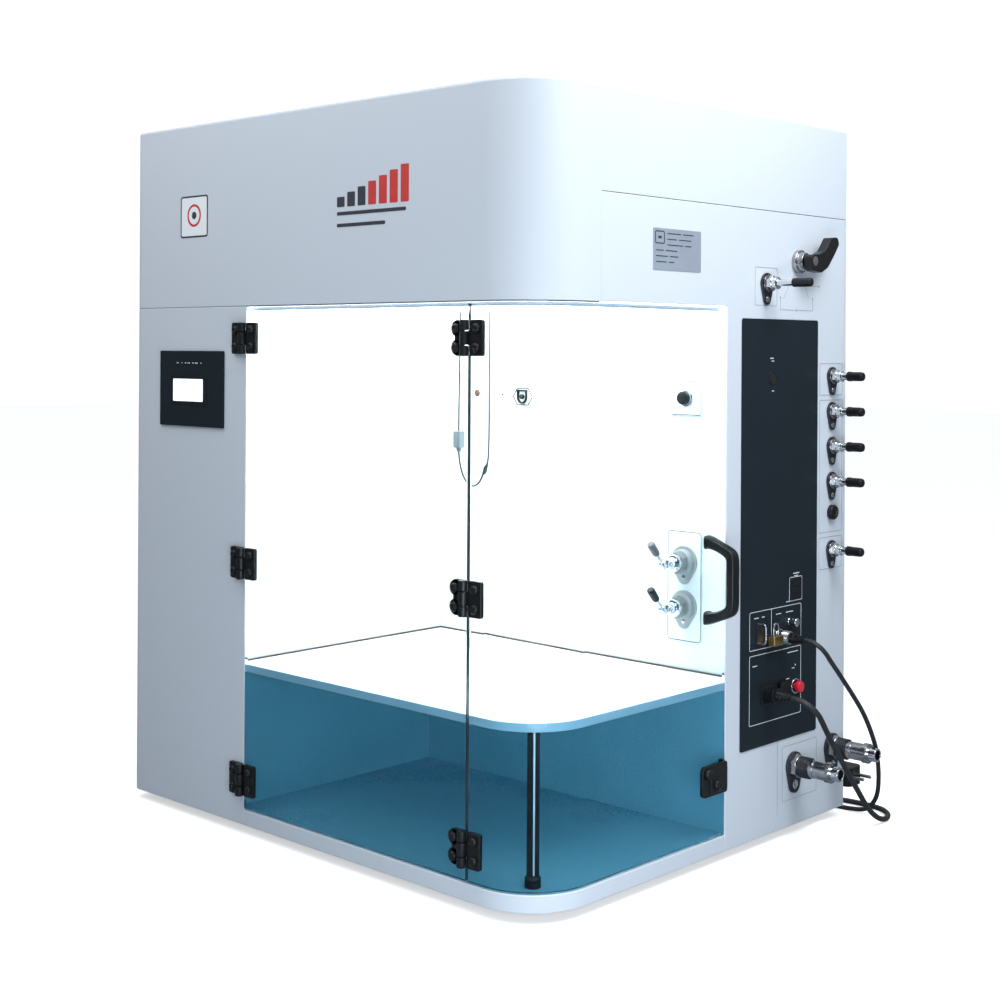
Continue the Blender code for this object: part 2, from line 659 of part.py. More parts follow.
def make_inner_valves(steel, black):
    """Two toggle valves on a plate on the back wall, with a lever each."""
    width, height, middle = VALVE_PLATE
    wall = CHAMBER_BACK - GAP
    outline = rounded_box((VALVE_ACROSS, middle), width, height, 0.005)
    ring = [at(across, wall, up) for across, up in outline]
    plate = prism("inner_valve_plate", ring, FORWARD * 0.002, steel)
    for name, level in VALVE_LEVELS.items():
        profile = [
            (0.001, 0.0190), (0.0050, 0.0190), (0.0060, 0.0160), (0.0120, 0.0150), (0.0125, 0.0115),
            (0.0270, 0.0115), (0.0275, 0.0070), (LEVER_OUT - 0.0095, 0.0070),
        ]
        fuse(plate, turned("valve", profile, at(VALVE_ACROSS, wall, level), FORWARD, steel))
        pin = at(VALVE_ACROSS, wall - LEVER_OUT, level)
        lean = (UPWARD + FORWARD * 0.9).normalized()
        stalk = [(-0.006, 0.0050), (0.005, 0.0050), (0.006, 0.0026), (0.022, 0.0026), (0.0225, 0.0046),
                 (0.0370, 0.0050), (0.0385, 0.0038)]
        lever = turned(f"inner_lever_{name}", stalk, pin, lean, black)
        pivot(f"inner_lever_{name}_pivot", pin, [lever])


def make_gland(steel):
    """The cable gland on the back wall: an elongated hexagonal flange and its low dome."""
    across, up = GLAND_PLACE
    half = [(-0.0195, 0.0), (-0.0110, -0.0120), (0.0110, -0.0120)]
    outline = half + [(-x, -z) for x, z in half]
    ring = [at(across + x, CHAMBER_BACK - GAP, up + z) for x, z in outline]
    flange = prism("cable_gland", ring, FORWARD * 0.0057, steel)
    dome = [(0.0040, 0.0105), (0.0100, 0.0105), (0.0120, 0.0060)]
    fuse(flange, turned("dome", dome, at(across, CHAMBER_BACK, up), FORWARD, steel, sides=12))
    return flange


# ---- Inside and rear ---------------------------------------------------------------------------

def make_fan(black):
    """The cooling fan: a guard with a spider in the rear panel's opening, and the rotor inside it."""
    across, up = FAN_PLACE
    centre = at(across, DEPTH, up)
    rim = FAN_RADIUS - GAP
    guard = turned_ring(
        "fan_guard", [(-0.022, rim - 0.003), (-0.022, rim), (GAP, rim), (GAP, rim + 0.006),
                      (REAR_REACH, rim + 0.006), (REAR_REACH, rim - 0.003)],
        centre, BACKWARD, black, sides=24)
    for radius in (0.034, 0.018):
        inner, outer = radius - 0.0012, radius + 0.0012
        ring = [(0.004, inner), (0.004, outer), (0.007, outer), (0.007, inner)]
        hoop = turned_ring("hoop", ring, centre, BACKWARD, black, sides=24)
        fuse(guard, hoop)
    for turn in range(2):
        angle = math.pi / 4 + turn * math.pi / 2
        along = Vector((math.cos(angle), 0, math.sin(angle)))
        wide = along.cross(BACKWARD) * 0.0015
        ends = (centre - along * (rim - 0.001), centre + along * (rim - 0.001))
        ring = [ends[0] - wide, ends[0] + wide, ends[1] + wide, ends[1] - wide]
        ring = [point + BACKWARD * 0.0035 for point in ring]
        fuse(guard, prism("spoke", ring, BACKWARD * 0.003, black))

    hub = centre - BACKWARD * 0.020
    profile = [(0, 0.016), (0.018, 0.016), (0.019, 0.014)]
    rotor = turned("fan_rotor", profile, hub, BACKWARD, black, sides=14)
    for number in range(7):
        angle = math.tau * number / 7
        along = Vector((math.cos(angle), 0, math.sin(angle)))
        wide = along.cross(BACKWARD)
        root, tip = hub + along * 0.013, hub + along * 0.045
        far = root + BACKWARD * 0.012
        ring = [root + wide * 0.004, far - wide * 0.004, far - wide * 0.005, root + wide * 0.003]
        fuse(rotor, prism("blade", ring, tip - root, black))
    pivot("fan_rotor_pivot", hub, [rotor])


def make_internals(steel, blue):
    """What the box runs on: the power supply on the floor, and the gas flow controllers on their rail."""
    supply = block("power_supply", (0.040, 0.150), (0.420, 0.520), (FLOOR_TOP + GAP, 0.075), steel)
    for across in (0.055, 0.095, 0.135):
        size = ((across - 0.012, across + 0.012), (0.400, 0.430), (0.030, 0.050))
        fuse(supply, block("terminal", *size, steel))
    rail = block("flow_controllers", (0.250, 0.460), (0.376, 0.392), (0.390, 0.430), blue)
    for across in (0.285, 0.355, 0.425):
        base = ((across - 0.016, across + 0.016), (0.390, 0.440), (0.380, 0.440))
        head = ((across - 0.014, across + 0.014), (0.395, 0.435), (0.435, 0.500))
        fuse(rail, block("base", *base, blue), block("head", *head, blue))


# ---- Cords -------------------------------------------------------------------------------------

MAINS_STATIONS = (
    (-0.0366, 0.4300, 0.1770), (-0.0416, 0.4300, 0.1770), (-0.0513, 0.4319, 0.1746),
    (-0.0602, 0.4368, 0.1684), (-0.0652, 0.4440, 0.1593), (-0.0660, 0.4530, 0.1478),
    (-0.0656, 0.4680, 0.1290), (-0.0648, 0.4880, 0.1060), (-0.0635, 0.5120, 0.0800),
    (-0.0615, 0.5400, 0.0510), (-0.0600, 0.5660, 0.0240), (-0.0595, 0.5860, 0.0070),
    (-0.0590, 0.6060, -0.0040), (-0.0565, 0.6260, -0.0083), (-0.0470, 0.6460, -0.0083),
    (-0.0270, 0.6600, -0.0083), (0.0050, 0.6630, -0.0083), (0.0450, 0.6580, -0.0083),
    (0.0800, 0.6520, -0.0083), (0.1100, 0.6500, -0.0083), (0.1375, 0.6500, -0.0083),
)
SIGNAL_STATIONS = (
    (-0.0386, 0.4550, 0.2460), (-0.0430, 0.4550, 0.2460), (-0.0520, 0.4566, 0.2434),
    (-0.0588, 0.4610, 0.2375), (-0.0618, 0.4680, 0.2295), (-0.0620, 0.4780, 0.2195),
    (-0.0612, 0.4940, 0.2055), (-0.0600, 0.5150, 0.1870), (-0.0590, 0.5400, 0.1640),
    (-0.0570, 0.5660, 0.1390), (-0.0545, 0.5900, 0.1100), (-0.0510, 0.6100, 0.0800),
    (-0.0460, 0.6240, 0.0440), (-0.0380, 0.6320, 0.0150), (-0.0220, 0.6350, -0.0040),
    (0.0020, 0.6340, -0.0088), (0.0400, 0.6300, -0.0088), (0.0900, 0.6270, -0.0088),
    (0.1500, 0.6270, -0.0088), (0.1950, 0.6330, -0.0088), (0.2300, 0.6450, -0.0088),
    (0.2540, 0.6510, -0.0088), (0.2765, 0.6525, -0.0088),
)
SENSOR_STATIONS = (
    (SENSOR_ACROSS[0], SENSOR_BACK, CEILING_UNDER - GAP), (0.2745, SENSOR_BACK, 0.620),
    (0.2755, SENSOR_BACK, 0.560), (0.2760, SENSOR_BACK, 0.500), (0.2745, SENSOR_BACK, 0.468),
    (0.2660, SENSOR_BACK, 0.4460), (0.2520, SENSOR_BACK, 0.4370), (0.2380, SENSOR_BACK, 0.4450),
    (0.2300, SENSOR_BACK, 0.468), (0.2280, SENSOR_BACK, 0.500), (0.2280, SENSOR_BACK, 0.560),
    (0.2285, SENSOR_BACK, 0.620), (SENSOR_ACROSS[1], SENSOR_BACK, CEILING_UNDER - GAP),
)


def coil(name, centre, radii, height, finish):
    """The outer shape of a round coil of cord that lies on the surface the feet stand on."""
    inner, outer = radii
    low = GAP - FOOT_HEIGHT
    profile = [(0, inner + 0.002), (0, outer - 0.002), (0.003, outer), (height - 0.003, outer),
               (height, outer - 0.002), (height, inner + 0.002), (height - 0.003, inner), (0.003, inner)]
    return turned_ring(name, profile, at(*centre, low), UPWARD, finish, sides=24)


def make_mains(black):
    """The mains lead: the plug in the inlet, the lead down to the surface, its coil and the wall plug."""
    back, up = INLET_PLACE
    size = ((back - 0.012, back + 0.012), (up - 0.009, up + 0.007))
    plug = block("mains_plug", (-0.0170, -0.0031), *size, black)
    relief = [(0.0150, 0.0068), (0.0170, 0.0068), (0.0360, 0.0042)]
    fuse(plug, turned("relief", relief, at(0, back, up - 0.001), OUTWARD, black))
    cord("mains_lead", MAINS_STATIONS, MAINS_RADIUS, 0.0125, black, resolution=2)
    coil("mains_coil", MAINS_COIL, MAINS_COIL_RADII, MAINS_COIL_HEIGHT, black)

    across, back = WALL_PLUG_PLACE
    low = GAP - FOOT_HEIGHT
    size = ((across - 0.068, across - 0.030), (back - 0.018, back + 0.018), (low, low + 0.026))
    body = block("wall_plug", *size, black)
    for offset in (-0.0095, 0.0095):
        start = at(across - 0.067, back + offset, low + 0.013)
        fuse(body, turned("pin", [(0, 0.0024), (0.0200, 0.0024)], start, OUTWARD, black, sides=8))
    grip = [(0, 0.0078), (0.010, 0.0078), (0.030, 0.0042)]
    fuse(body, turned("grip", grip, at(across - 0.031, back, low + 0.013), -OUTWARD, black))


def make_signal(black, steel):
    """The signal lead: the round plug, the lead down to the surface, its coil and its end plug."""
    profile = [(0.0025, 0.0075), (0.0140, 0.0075), (0.0145, 0.0085)]
    profile += [(0.0240, 0.0085), (0.0245, 0.0060), (0.0380, 0.0036)]
    turned("signal_plug", profile, at(0, *SIGNAL_PLACE), OUTWARD, steel)
    cord("signal_lead", SIGNAL_STATIONS, SIGNAL_RADIUS, 0.0130, black)
    coil("signal_coil", SIGNAL_COIL, SIGNAL_COIL_RADII, SIGNAL_COIL_HEIGHT, black)
    start = at(*SIGNAL_END_PLACE, GAP - FOOT_HEIGHT + 0.0095)
    profile = [(0, 0.0036), (0.014, 0.0060), (0.0145, 0.0092)]
    profile += [(0.0300, 0.0092), (0.0305, 0.0070), (0.0400, 0.0070)]
    turned("signal_end_plug", profile, start, OUTWARD, steel)


def make_sensor(white):
    """The sensor cable that hangs in a loop from the chamber's ceiling, with its white in-line plug."""
    cord("sensor_cable", SENSOR_STATIONS, SENSOR_RADIUS, 0.0066, white)
    bore, outer = SENSOR_RADIUS + 0.0012, 0.0062
    profile = [(-0.014, bore), (-0.014, outer - 0.001), (-0.012, outer)]
    profile += [(0.012, outer), (0.014, outer - 0.001), (0.014, bore)]
    turned_ring("sensor_plug", profile, at(0.2757, SENSOR_BACK, 0.492), UPWARD, white, sides=10)


# ---- The object --------------------------------------------------------------------------------

def main():
    for old in list(bpy.data.objects):
        bpy.data.objects.remove(old)

    painted = material("painted_steel", (0.72, 0.76, 0.82), 0.42)
    white = material("white_lining", (0.92, 0.94, 0.95), 0.45)
    clear = material("clear_acrylic", (0.62, 0.86, 0.92), 0.05, alpha=0.30)
    black = material("black_plastic", (0.015, 0.016, 0.018), 0.45)
    panel_black = material("black_panel", (0.012, 0.020, 0.028), 0.50)
    steel = material("stainless_steel", (0.62, 0.63, 0.64), 0.22, metallic=1.0)
    post_dark = material("dark_post", (0.05, 0.09, 0.11), 0.35, metallic=0.4)
    board_blue = material("flow_controller_blue", (0.05, 0.16, 0.38), 0.45)
    red = material("red_button", (0.80, 0.02, 0.07), 0.30)
    rubber = material("foot_rubber", (0.02, 0.02, 0.02), 0.80)

    make_base_tray(painted)
    make_left_cover(painted)
    make_front_rim(painted)
    make_side_panel(painted)
    make_rear_panel(painted)
    make_hood_cover(painted)
    make_feet(rubber)
    make_chamber(white, post_dark)
    make_doors(clear, black)
    make_display(panel_black)
    make_connector_panel(panel_black)
    push_button("breaker_button", 0.0075, at(0, *BREAKER_PLACE), OUTWARD, 0.0050, 0.006, red)
    across, up = LAMP_PLACE
    push_button("lamp_button", 0.0085, at(across, CHAMBER_BACK, up), FORWARD, 0.0060, 0.007, black)
    make_gas_ports(steel)
    make_purge_port(steel)
    make_selector(steel, black)
    make_coolant_couplings(steel)
    make_inner_valves(steel, black)
    make_gland(steel)
    make_fan(black)
    make_internals(steel, board_blue)
    make_mains(black)
    make_signal(black, steel)
    make_sensor(white)


main()
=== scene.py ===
"""The looks of a bench-top laboratory glove box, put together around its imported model.

Metres, +Z up, +X the side with the connections and -Y the front. Places on the cabinet are given as
(across, back, up): in from the right side face, behind the front face, above the cabinet's underside.
"""

import math

import bmesh
import bpy
import numpy as np
from mathutils import Matrix, Vector


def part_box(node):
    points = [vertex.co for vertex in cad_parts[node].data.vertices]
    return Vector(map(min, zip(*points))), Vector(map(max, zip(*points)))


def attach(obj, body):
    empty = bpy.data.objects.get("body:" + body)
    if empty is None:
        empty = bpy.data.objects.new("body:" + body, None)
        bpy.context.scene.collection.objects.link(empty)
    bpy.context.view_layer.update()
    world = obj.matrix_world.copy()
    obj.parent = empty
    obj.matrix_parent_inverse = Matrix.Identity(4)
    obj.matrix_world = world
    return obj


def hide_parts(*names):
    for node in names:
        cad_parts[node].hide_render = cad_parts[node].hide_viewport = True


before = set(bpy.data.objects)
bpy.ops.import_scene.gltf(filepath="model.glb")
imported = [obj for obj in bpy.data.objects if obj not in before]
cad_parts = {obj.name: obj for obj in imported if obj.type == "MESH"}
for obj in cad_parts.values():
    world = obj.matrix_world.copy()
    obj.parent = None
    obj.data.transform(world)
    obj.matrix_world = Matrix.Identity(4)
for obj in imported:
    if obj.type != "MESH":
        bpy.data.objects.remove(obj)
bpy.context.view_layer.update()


# ---- Studio ------------------------------------------------------------------------------------
# A pale floor under the feet; a large soft lamp high on the right, a weaker one in front and a cool
# low one by the corner; and a camera at chamber height that looks level past the wide front corner.

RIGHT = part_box("side_panel")[1][0]
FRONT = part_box("left_cover")[0][1]
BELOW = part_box("left_cover")[0][2]


def at(across, back, up):
    """World points that lie across, back and up from the cabinet's right, front and underside."""
    parts = np.broadcast_arrays(RIGHT - np.asarray(across, float), FRONT + np.asarray(back, float),
                                BELOW + np.asarray(up, float))
    return np.stack(parts, axis=-1)


class Value:
    """One output of a material's nodes: sums, differences and products of values add Math nodes."""

    def __init__(self, tree, socket):
        self.tree = tree
        self.socket = socket

    def node(self, kind, settings, inputs, output=0):
        """Adds a node of that type: first its settings, then the values or links of its sockets."""
        made = self.tree.nodes.new(kind)
        for key, setting in settings.items():
            setattr(made, key, setting)
        for key, given in inputs.items():
            if isinstance(given, Value):
                self.tree.links.new(given.socket, made.inputs[key])
            else:
                made.inputs[key].default_value = given
        return Value(self.tree, made.outputs[output])

    def maths(self, operation, first, second):
        """A Math node over two values or numbers."""
        return self.node("ShaderNodeMath", {"operation": operation}, {0: first, 1: second})

    def __add__(self, other):
        return self.maths("ADD", self, other)

    def __sub__(self, other):
        return self.maths("SUBTRACT", self, other)

    def __rsub__(self, other):
        return self.maths("SUBTRACT", other, self)

    def __mul__(self, other):
        return self.maths("MULTIPLY", self, other)

    __radd__ = __add__
    __rmul__ = __mul__


def start_finish(name, **constants):
    """A new material with constants on its shader's own sockets, its shader, and its coordinates."""
    made = bpy.data.materials.new(name)
    made.use_nodes = True
    tree = made.node_tree
    shader = tree.nodes["Principled BSDF"]
    for key, given in constants.items():
        shader.inputs[key.replace("_", " ")].default_value = given
    return made, shader, Value(tree, tree.nodes.new("ShaderNodeTexCoord").outputs["Object"])


def feed(shader, key, value):
    """Links a value to the shader's socket of that name."""
    value.tree.links.new(value.socket, shader.inputs[key])


def noise(coords, scale, detail=3.0, stretch=(1.0, 1.0, 1.0)):
    """Noise with scale features to the metre, finer along the axes with a larger stretch."""
    if stretch != (1.0, 1.0, 1.0):
        coords = coords.node("ShaderNodeMapping", {}, {"Vector": coords, "Scale": stretch})
    return coords.node("ShaderNodeTexNoise", {}, {"Vector": coords, "Scale": scale, "Detail": detail})


def tint_between(mask, first, second):
    """The first colour where the mask is 0 and the second where it is 1."""
    inputs = {0: mask, 6: (*first, 1.0), 7: (*second, 1.0)}
    return mask.node("ShaderNodeMix", {"data_type": "RGBA"}, inputs, output=2)


def surface(name, dark, light, rough, patch, grain, relief, stretch=(1.0, 1.0, 1.0), **constants):
    """A finish whose tint and roughness drift in patches, over a fine grain that also stands in relief."""
    made, shader, coords = start_finish(name, **constants)
    patches = noise(coords, patch, 4.0)
    grains = noise(coords, grain, 2.0, stretch)
    feed(shader, "Base Color", tint_between(patches * 0.7 + grains * 0.3, dark, light))
    feed(shader, "Roughness", (patches * 0.6 + grains * 0.4) * (rough[1] - rough[0]) + rough[0])
    feed(shader, "Normal", grains.node("ShaderNodeBump", {}, {"Height": grains, "Distance": relief}))
    return made


def aim(thing, place, target):
    """Puts a lamp at a place and points it at a target."""
    thing.location = place
    thing.rotation_euler = (Vector(target) - Vector(place)).to_track_quat("-Z", "Y").to_euler()


def soft_lamp(name, place, target, size, power, colour):
    """A square area lamp of that size and power, turned to its target."""
    light = bpy.data.lights.new(name, "AREA")
    light.size = size
    light.energy = power
    light.color = colour
    lamp = bpy.data.objects.new(name, light)
    bpy.context.scene.collection.objects.link(lamp)
    aim(lamp, place, target)


floor_finish, shader, coords = start_finish(
    "pale_floor", Roughness=0.9, Specular_IOR_Level=0.05, Emission_Strength=0.52)
seen = coords.node("ShaderNodeLightPath", {}, {})
feed(shader, "Base Color", tint_between(seen, (0.24, 0.27, 0.30), (0.90, 0.91, 0.92)))
feed(shader, "Emission Color", tint_between(seen, (0.0, 0.0, 0.0), (1.0, 1.0, 1.0)))
FLOOR_REACH = 14.0
corners = np.array([(-1, -1), (1, -1), (1, 1), (-1, 1)]) * FLOOR_REACH
floor_mesh = bpy.data.meshes.new("floor")
floor_mesh.from_pydata(np.column_stack([corners, np.full(4, -0.0002)]).tolist(), [], [(0, 1, 2, 3)])
floor_mesh.materials.append(floor_finish)
floor = bpy.data.objects.new("floor", floor_mesh)
bpy.context.scene.collection.objects.link(floor)

world = bpy.data.worlds.new("studio")
world.use_nodes = True
sky = world.node_tree.nodes["Background"]
sky.inputs["Color"].default_value = (0.90, 0.95, 1.0, 1.0)
seen = Value(world.node_tree, world.node_tree.nodes.new("ShaderNodeLightPath").outputs["Is Camera Ray"])
direction = Value(world.node_tree, world.node_tree.nodes.new("ShaderNodeTexCoord").outputs["Generated"])
height = direction.node("ShaderNodeSeparateXYZ", {}, {"Vector": direction}, output=2)
glow = height.node("ShaderNodeMapRange", {}, {"Value": height, "From Min": 0.0, "From Max": 0.9,
                                              "To Min": 0.17, "To Max": 0.72})
feed(sky, "Strength", seen * (1.15 - glow) + glow)
bpy.context.scene.world = world
bpy.context.scene.view_settings.view_transform = "Standard"

soft_lamp("right_lamp", at(-0.70, 0.25, 1.50), at(0.0, 0.32, 0.75), 0.7, 18.5, (0.94, 0.97, 1.0))
soft_lamp("front_lamp", at(0.52, -0.60, 1.45), at(0.50, 0.0, 0.75), 1.0, 8.0, (0.97, 0.985, 1.0))
soft_lamp("low_lamp", at(-0.65, -0.50, 0.14), at(0.12, 0.15, 0.08), 0.5, 9.0, (0.82, 0.91, 1.0))

LENS = 56.64
LEVEL_TURN = math.radians(43.35)
ROLL = math.radians(0.327)
view = bpy.data.cameras.new("view")
view.lens = LENS
view.sensor_width = 36.0
view.shift_y = -0.150
view.clip_start = 0.05
camera = bpy.data.objects.new("view", view)
bpy.context.scene.collection.objects.link(camera)
camera.location = at(-1.1056, -1.2309, 0.605)
turn = Matrix.Rotation(LEVEL_TURN, 3, "Z") @ Matrix.Rotation(math.pi / 2, 3,
                                                             "X") @ Matrix.Rotation(ROLL, 3, "Z")
camera.rotation_euler = turn.to_euler()
bpy.context.scene.camera = camera


# ---- Leads and sensor cable --------------------------------------------------------------------
# Two black leads leave their plugs on the black panel, fall in loose curves to the surface behind
# the box, and end in neat coils there: PVC-sheathed flex of 7 mm for the mains and 6 mm for signals.
# The thin grey sensor cable hangs in a loop from the chamber's ceiling.

def smooth_route(stations, spacing):
    """Evenly spaced points on the Catmull-Rom curve through the stations: each span is the cubic whose
    ends are two stations and whose slopes there are half the way from each end's neighbours."""
    knots = np.asarray(stations, float)
    knots = np.vstack([2 * knots[0] - knots[1], knots, 2 * knots[-1] - knots[-2]])
    p0, p1, p2, p3 = (knots[i:len(knots) - 3 + i][:, None] for i in range(4))
    t = np.linspace(0, 1, 24, endpoint=False)[None, :, None]
    curve = 2 * p1 + (p2 - p0) * t + (2 * p0 - 5 * p1 + 4 * p2 - p3) * t ** 2
    curve = (curve + (3 * p1 - p0 - 3 * p2 + p3) * t ** 3) / 2
    fine = np.vstack([curve.reshape(-1, 3), knots[-2]])
    walked = np.r_[0, np.cumsum(np.linalg.norm(np.diff(fine, axis=0), axis=1))]
    places = np.linspace(0, walked[-1], round(walked[-1] / spacing) + 1)
    return np.column_stack([np.interp(places, walked, fine[:, axis]) for axis in range(3)])


def coil_turns(centre, radius, diameter, lay, turned):
    """Turns of a coil seen from above, clockwise from its front: the radius drops by a diameter, twice,
    then the cord climbs a diameter and steps out again; each step takes 58 degrees and comes 302
    degrees after the last, so it clears the step below. Returned as (across, back, up)."""
    angle = np.arange(0.0, turned + 0.1, 20.0)
    reach = np.full(len(angle), radius)
    up = np.full(len(angle), lay)
    for number, (outward, upward) in enumerate(((-1, 0), (-1, 0), (0, 1), (1, 0), (1, 0)), 1):
        share = np.clip((angle - (302 * number - 12)) / 58, 0, 1)
        share = share * share * (3 - 2 * share)
        reach += outward * diameter * share
        up += upward * diameter * share
    along = np.radians(-90 - angle)
    return np.column_stack([centre[0] - reach * np.cos(along), centre[1] + reach * np.sin(along), up])


def cord_piece(name, stations, radius, spacing, finish, *replaced):
    """A cord as a curve of one open spline through its stations, with round section and closed ends."""
    points = smooth_route(at(*np.array(stations).T), spacing)
    curve = bpy.data.curves.new(name, "CURVE")
    curve.dimensions = "3D"
    curve.bevel_depth = radius
    curve.bevel_resolution = 4
    curve.use_fill_caps = True
    line = curve.splines.new("POLY")
    line.points.add(len(points) - 1)
    line.points.foreach_set("co", np.column_stack([points, np.ones(len(points))]).ravel())
    line.use_smooth = True
    curve.materials.append(finish)
    made = bpy.data.objects.new(name, curve)
    bpy.context.scene.collection.objects.link(made)
    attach(made, "root")
    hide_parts(*replaced)
    length = float(np.linalg.norm(np.diff(points, axis=0), axis=1).sum())
    return made, points[0].tolist(), length


sheath = surface("cord_sheath", (0.010, 0.010, 0.011), (0.022, 0.022, 0.024), (0.42, 0.60), 60.0, 900.0,
                 0.00012)
grey_sheath = surface("grey_sheath", (0.050, 0.052, 0.055), (0.085, 0.088, 0.092), (0.35, 0.5), 80.0, 900.0,
                      0.0001)
pale_moulding = surface("pale_moulding", (0.24, 0.27, 0.29), (0.30, 0.33, 0.35), (0.35, 0.5), 80.0, 900.0,
                        0.0001)

MAINS_DIAMETER = 0.0070
MAINS_STATIONS = [
    (-0.0366, 0.4300, 0.1770), (-0.0416, 0.4300, 0.1770), (-0.0513, 0.4319, 0.1746),
    (-0.0602, 0.4368, 0.1684), (-0.0652, 0.4440, 0.1593), (-0.0660, 0.4530, 0.1478),
    (-0.0656, 0.4680, 0.1290), (-0.0648, 0.4880, 0.1060), (-0.0635, 0.5120, 0.0800),
    (-0.0615, 0.5400, 0.0510), (-0.0600, 0.5660, 0.0240), (-0.0595, 0.5860, 0.0070),
    (-0.0590, 0.6060, -0.0040), (-0.0565, 0.6260, -0.0083), (-0.0470, 0.6460, -0.0083),
    (-0.0270, 0.6600, -0.0083), (0.0050, 0.6630, -0.0083), (0.0450, 0.6580, -0.0083),
    (0.0800, 0.6520, -0.0083), (0.1100, 0.6500, -0.0083), (0.1375, 0.6500, -0.0083),
]
mains_turns = coil_turns((0.165, 0.699), 0.0490, MAINS_DIAMETER, -0.0083, 1620.0)
mains_end = [(0.148, 0.748, -0.0010), (0.1284, 0.748, 0.0013)]
mains_cord, mains_exit, mains_length = cord_piece(
    "mains_cord", [*MAINS_STATIONS, *mains_turns, *mains_end], MAINS_DIAMETER / 2, 0.003, sheath,
    "mains_lead", "mains_coil")

SIGNAL_DIAMETER = 0.0060
SIGNAL_STATIONS = [
    (-0.0386, 0.4550, 0.2460), (-0.0430, 0.4550, 0.2460), (-0.0520, 0.4566, 0.2434),
    (-0.0588, 0.4610, 0.2375), (-0.0618, 0.4680, 0.2295), (-0.0620, 0.4780, 0.2195),
    (-0.0612, 0.4940, 0.2055), (-0.0600, 0.5150, 0.1870), (-0.0590, 0.5400, 0.1640),
    (-0.0570, 0.5660, 0.1390), (-0.0545, 0.5900, 0.1100), (-0.0510, 0.6100, 0.0800),
    (-0.0460, 0.6240, 0.0440), (-0.0380, 0.6320, 0.0150), (-0.0220, 0.6350, -0.0040),
    (0.0020, 0.6340, -0.0088), (0.0400, 0.6300, -0.0088), (0.0900, 0.6270, -0.0088),
    (0.1500, 0.6270, -0.0088), (0.1950, 0.6330, -0.0088), (0.2300, 0.6450, -0.0088),
    (0.2540, 0.6510, -0.0088), (0.2765, 0.6525, -0.0088),
]
signal_turns = coil_turns((0.300, 0.6945), 0.0420, SIGNAL_DIAMETER, -0.0088, 1260.0)
signal_end = [(0.285, 0.7305, -0.0027), (0.2684, 0.7305, -0.0022)]
signal_cord, signal_exit, signal_length = cord_piece(
    "signal_cord", [*SIGNAL_STATIONS, *signal_turns, *signal_end], SIGNAL_DIAMETER / 2, 0.003, sheath,
    "signal_lead", "signal_coil")

SENSOR_DIAMETER = 0.0024
SENSOR_BACK = 0.160
SENSOR_STATIONS = [
    (0.2740, SENSOR_BACK, 0.6590), (0.2745, SENSOR_BACK, 0.6200), (0.2755, SENSOR_BACK, 0.5600),
    (0.2760, SENSOR_BACK, 0.5000), (0.2745, SENSOR_BACK, 0.4680), (0.2660, SENSOR_BACK, 0.4460),
    (0.2520, SENSOR_BACK, 0.4370), (0.2380, SENSOR_BACK, 0.4450), (0.2300, SENSOR_BACK, 0.4680),
    (0.2280, SENSOR_BACK, 0.5000), (0.2280, SENSOR_BACK, 0.5600), (0.2285, SENSOR_BACK, 0.6200),
    (0.2290, SENSOR_BACK, 0.6590),
]
sensor_cord, sensor_exit, sensor_length = cord_piece(
    "sensor_cord", SENSOR_STATIONS, SENSOR_DIAMETER / 2, 0.002, grey_sheath, "sensor_cable")


# ---- Plugs on the leads ------------------------------------------------------------------------
# Moulded black plugs on the mains lead, an appliance coupler at the box and a two-pin plug at the
# far end, each with a tapered strain relief; machined round screw plugs on the signal lead; and the
# small pale in-line plug on the sensor cable.

def on_side(outline, out):
    """Points (back, up) of an outline on the right side, standing out from its face."""
    return at(-out, outline[:, 0], outline[:, 1])


def on_front(outline, out):
    """Points (across, up) of an outline on the front, standing out from its face."""
    return at(outline[:, 0], -out, outline[:, 1])


def in_plan(outline, up):
    """Points (across, back) of an outline at one height."""
    return at(outline[:, 0], outline[:, 1], up)


def loft(rings, around=False):
    """A closed skin over rings of points: quads join each ring to the next, and either the ends are
    closed by a face each or, if it goes around, the last ring joins the first."""
    rings = np.asarray(rings, float)
    count, size = rings.shape[:2]
    row = np.arange(count if around else count - 1)[:, None]
    step = np.arange(size)[None, :]
    below, above = row * size, (row + 1) % count * size
    after = (step + 1) % size
    quads = np.stack([below + step, below + after, above + after, above + step], axis=-1)
    faces = quads.reshape(-1, 4).tolist()
    if not around:
        faces += [list(range(size))[::-1], list(range((count - 1) * size, count * size))]
    return rings.reshape(-1, 3), faces


def rectangle(low, high):
    """A rectangle's corners from its lowest to its highest pair of coordinates."""
    return [(low[0], low[1]), (high[0], low[1]), (high[0], high[1]), (low[0], high[1])]


def rounded(corners, radius, steps=5):
    """An outline whose corners are arcs that touch both sides: each arc's centre lies on its corner's
    bisector, radius / sin(half angle) from the corner."""
    corners = np.array(corners, float)
    radius = np.broadcast_to(radius, len(corners))[:, None]
    before = np.roll(corners, 1, axis=0) - corners
    after = np.roll(corners, -1, axis=0) - corners
    before /= np.linalg.norm(before, axis=1, keepdims=True)
    after /= np.linalg.norm(after, axis=1, keepdims=True)
    half = np.arccos(np.clip((before * after).sum(axis=1), -1, 1))[:, None] / 2
    bisector = before + after
    bisector /= np.linalg.norm(bisector, axis=1, keepdims=True)
    centre = corners + bisector * radius / np.sin(half)
    start = corners + before * radius / np.tan(half) - centre
    end = corners + after * radius / np.tan(half) - centre
    first = np.arctan2(start[:, 1], start[:, 0])
    turn = (np.arctan2(end[:, 1], end[:, 0]) - first + math.pi) % math.tau - math.pi
    angle = first[:, None] + turn[:, None] * np.linspace(0, 1, steps + 1)
    spokes = np.stack([np.cos(angle), np.sin(angle)], axis=-1)
    return (centre[:, None] + radius[:, None] * spokes).reshape(-1, 2)


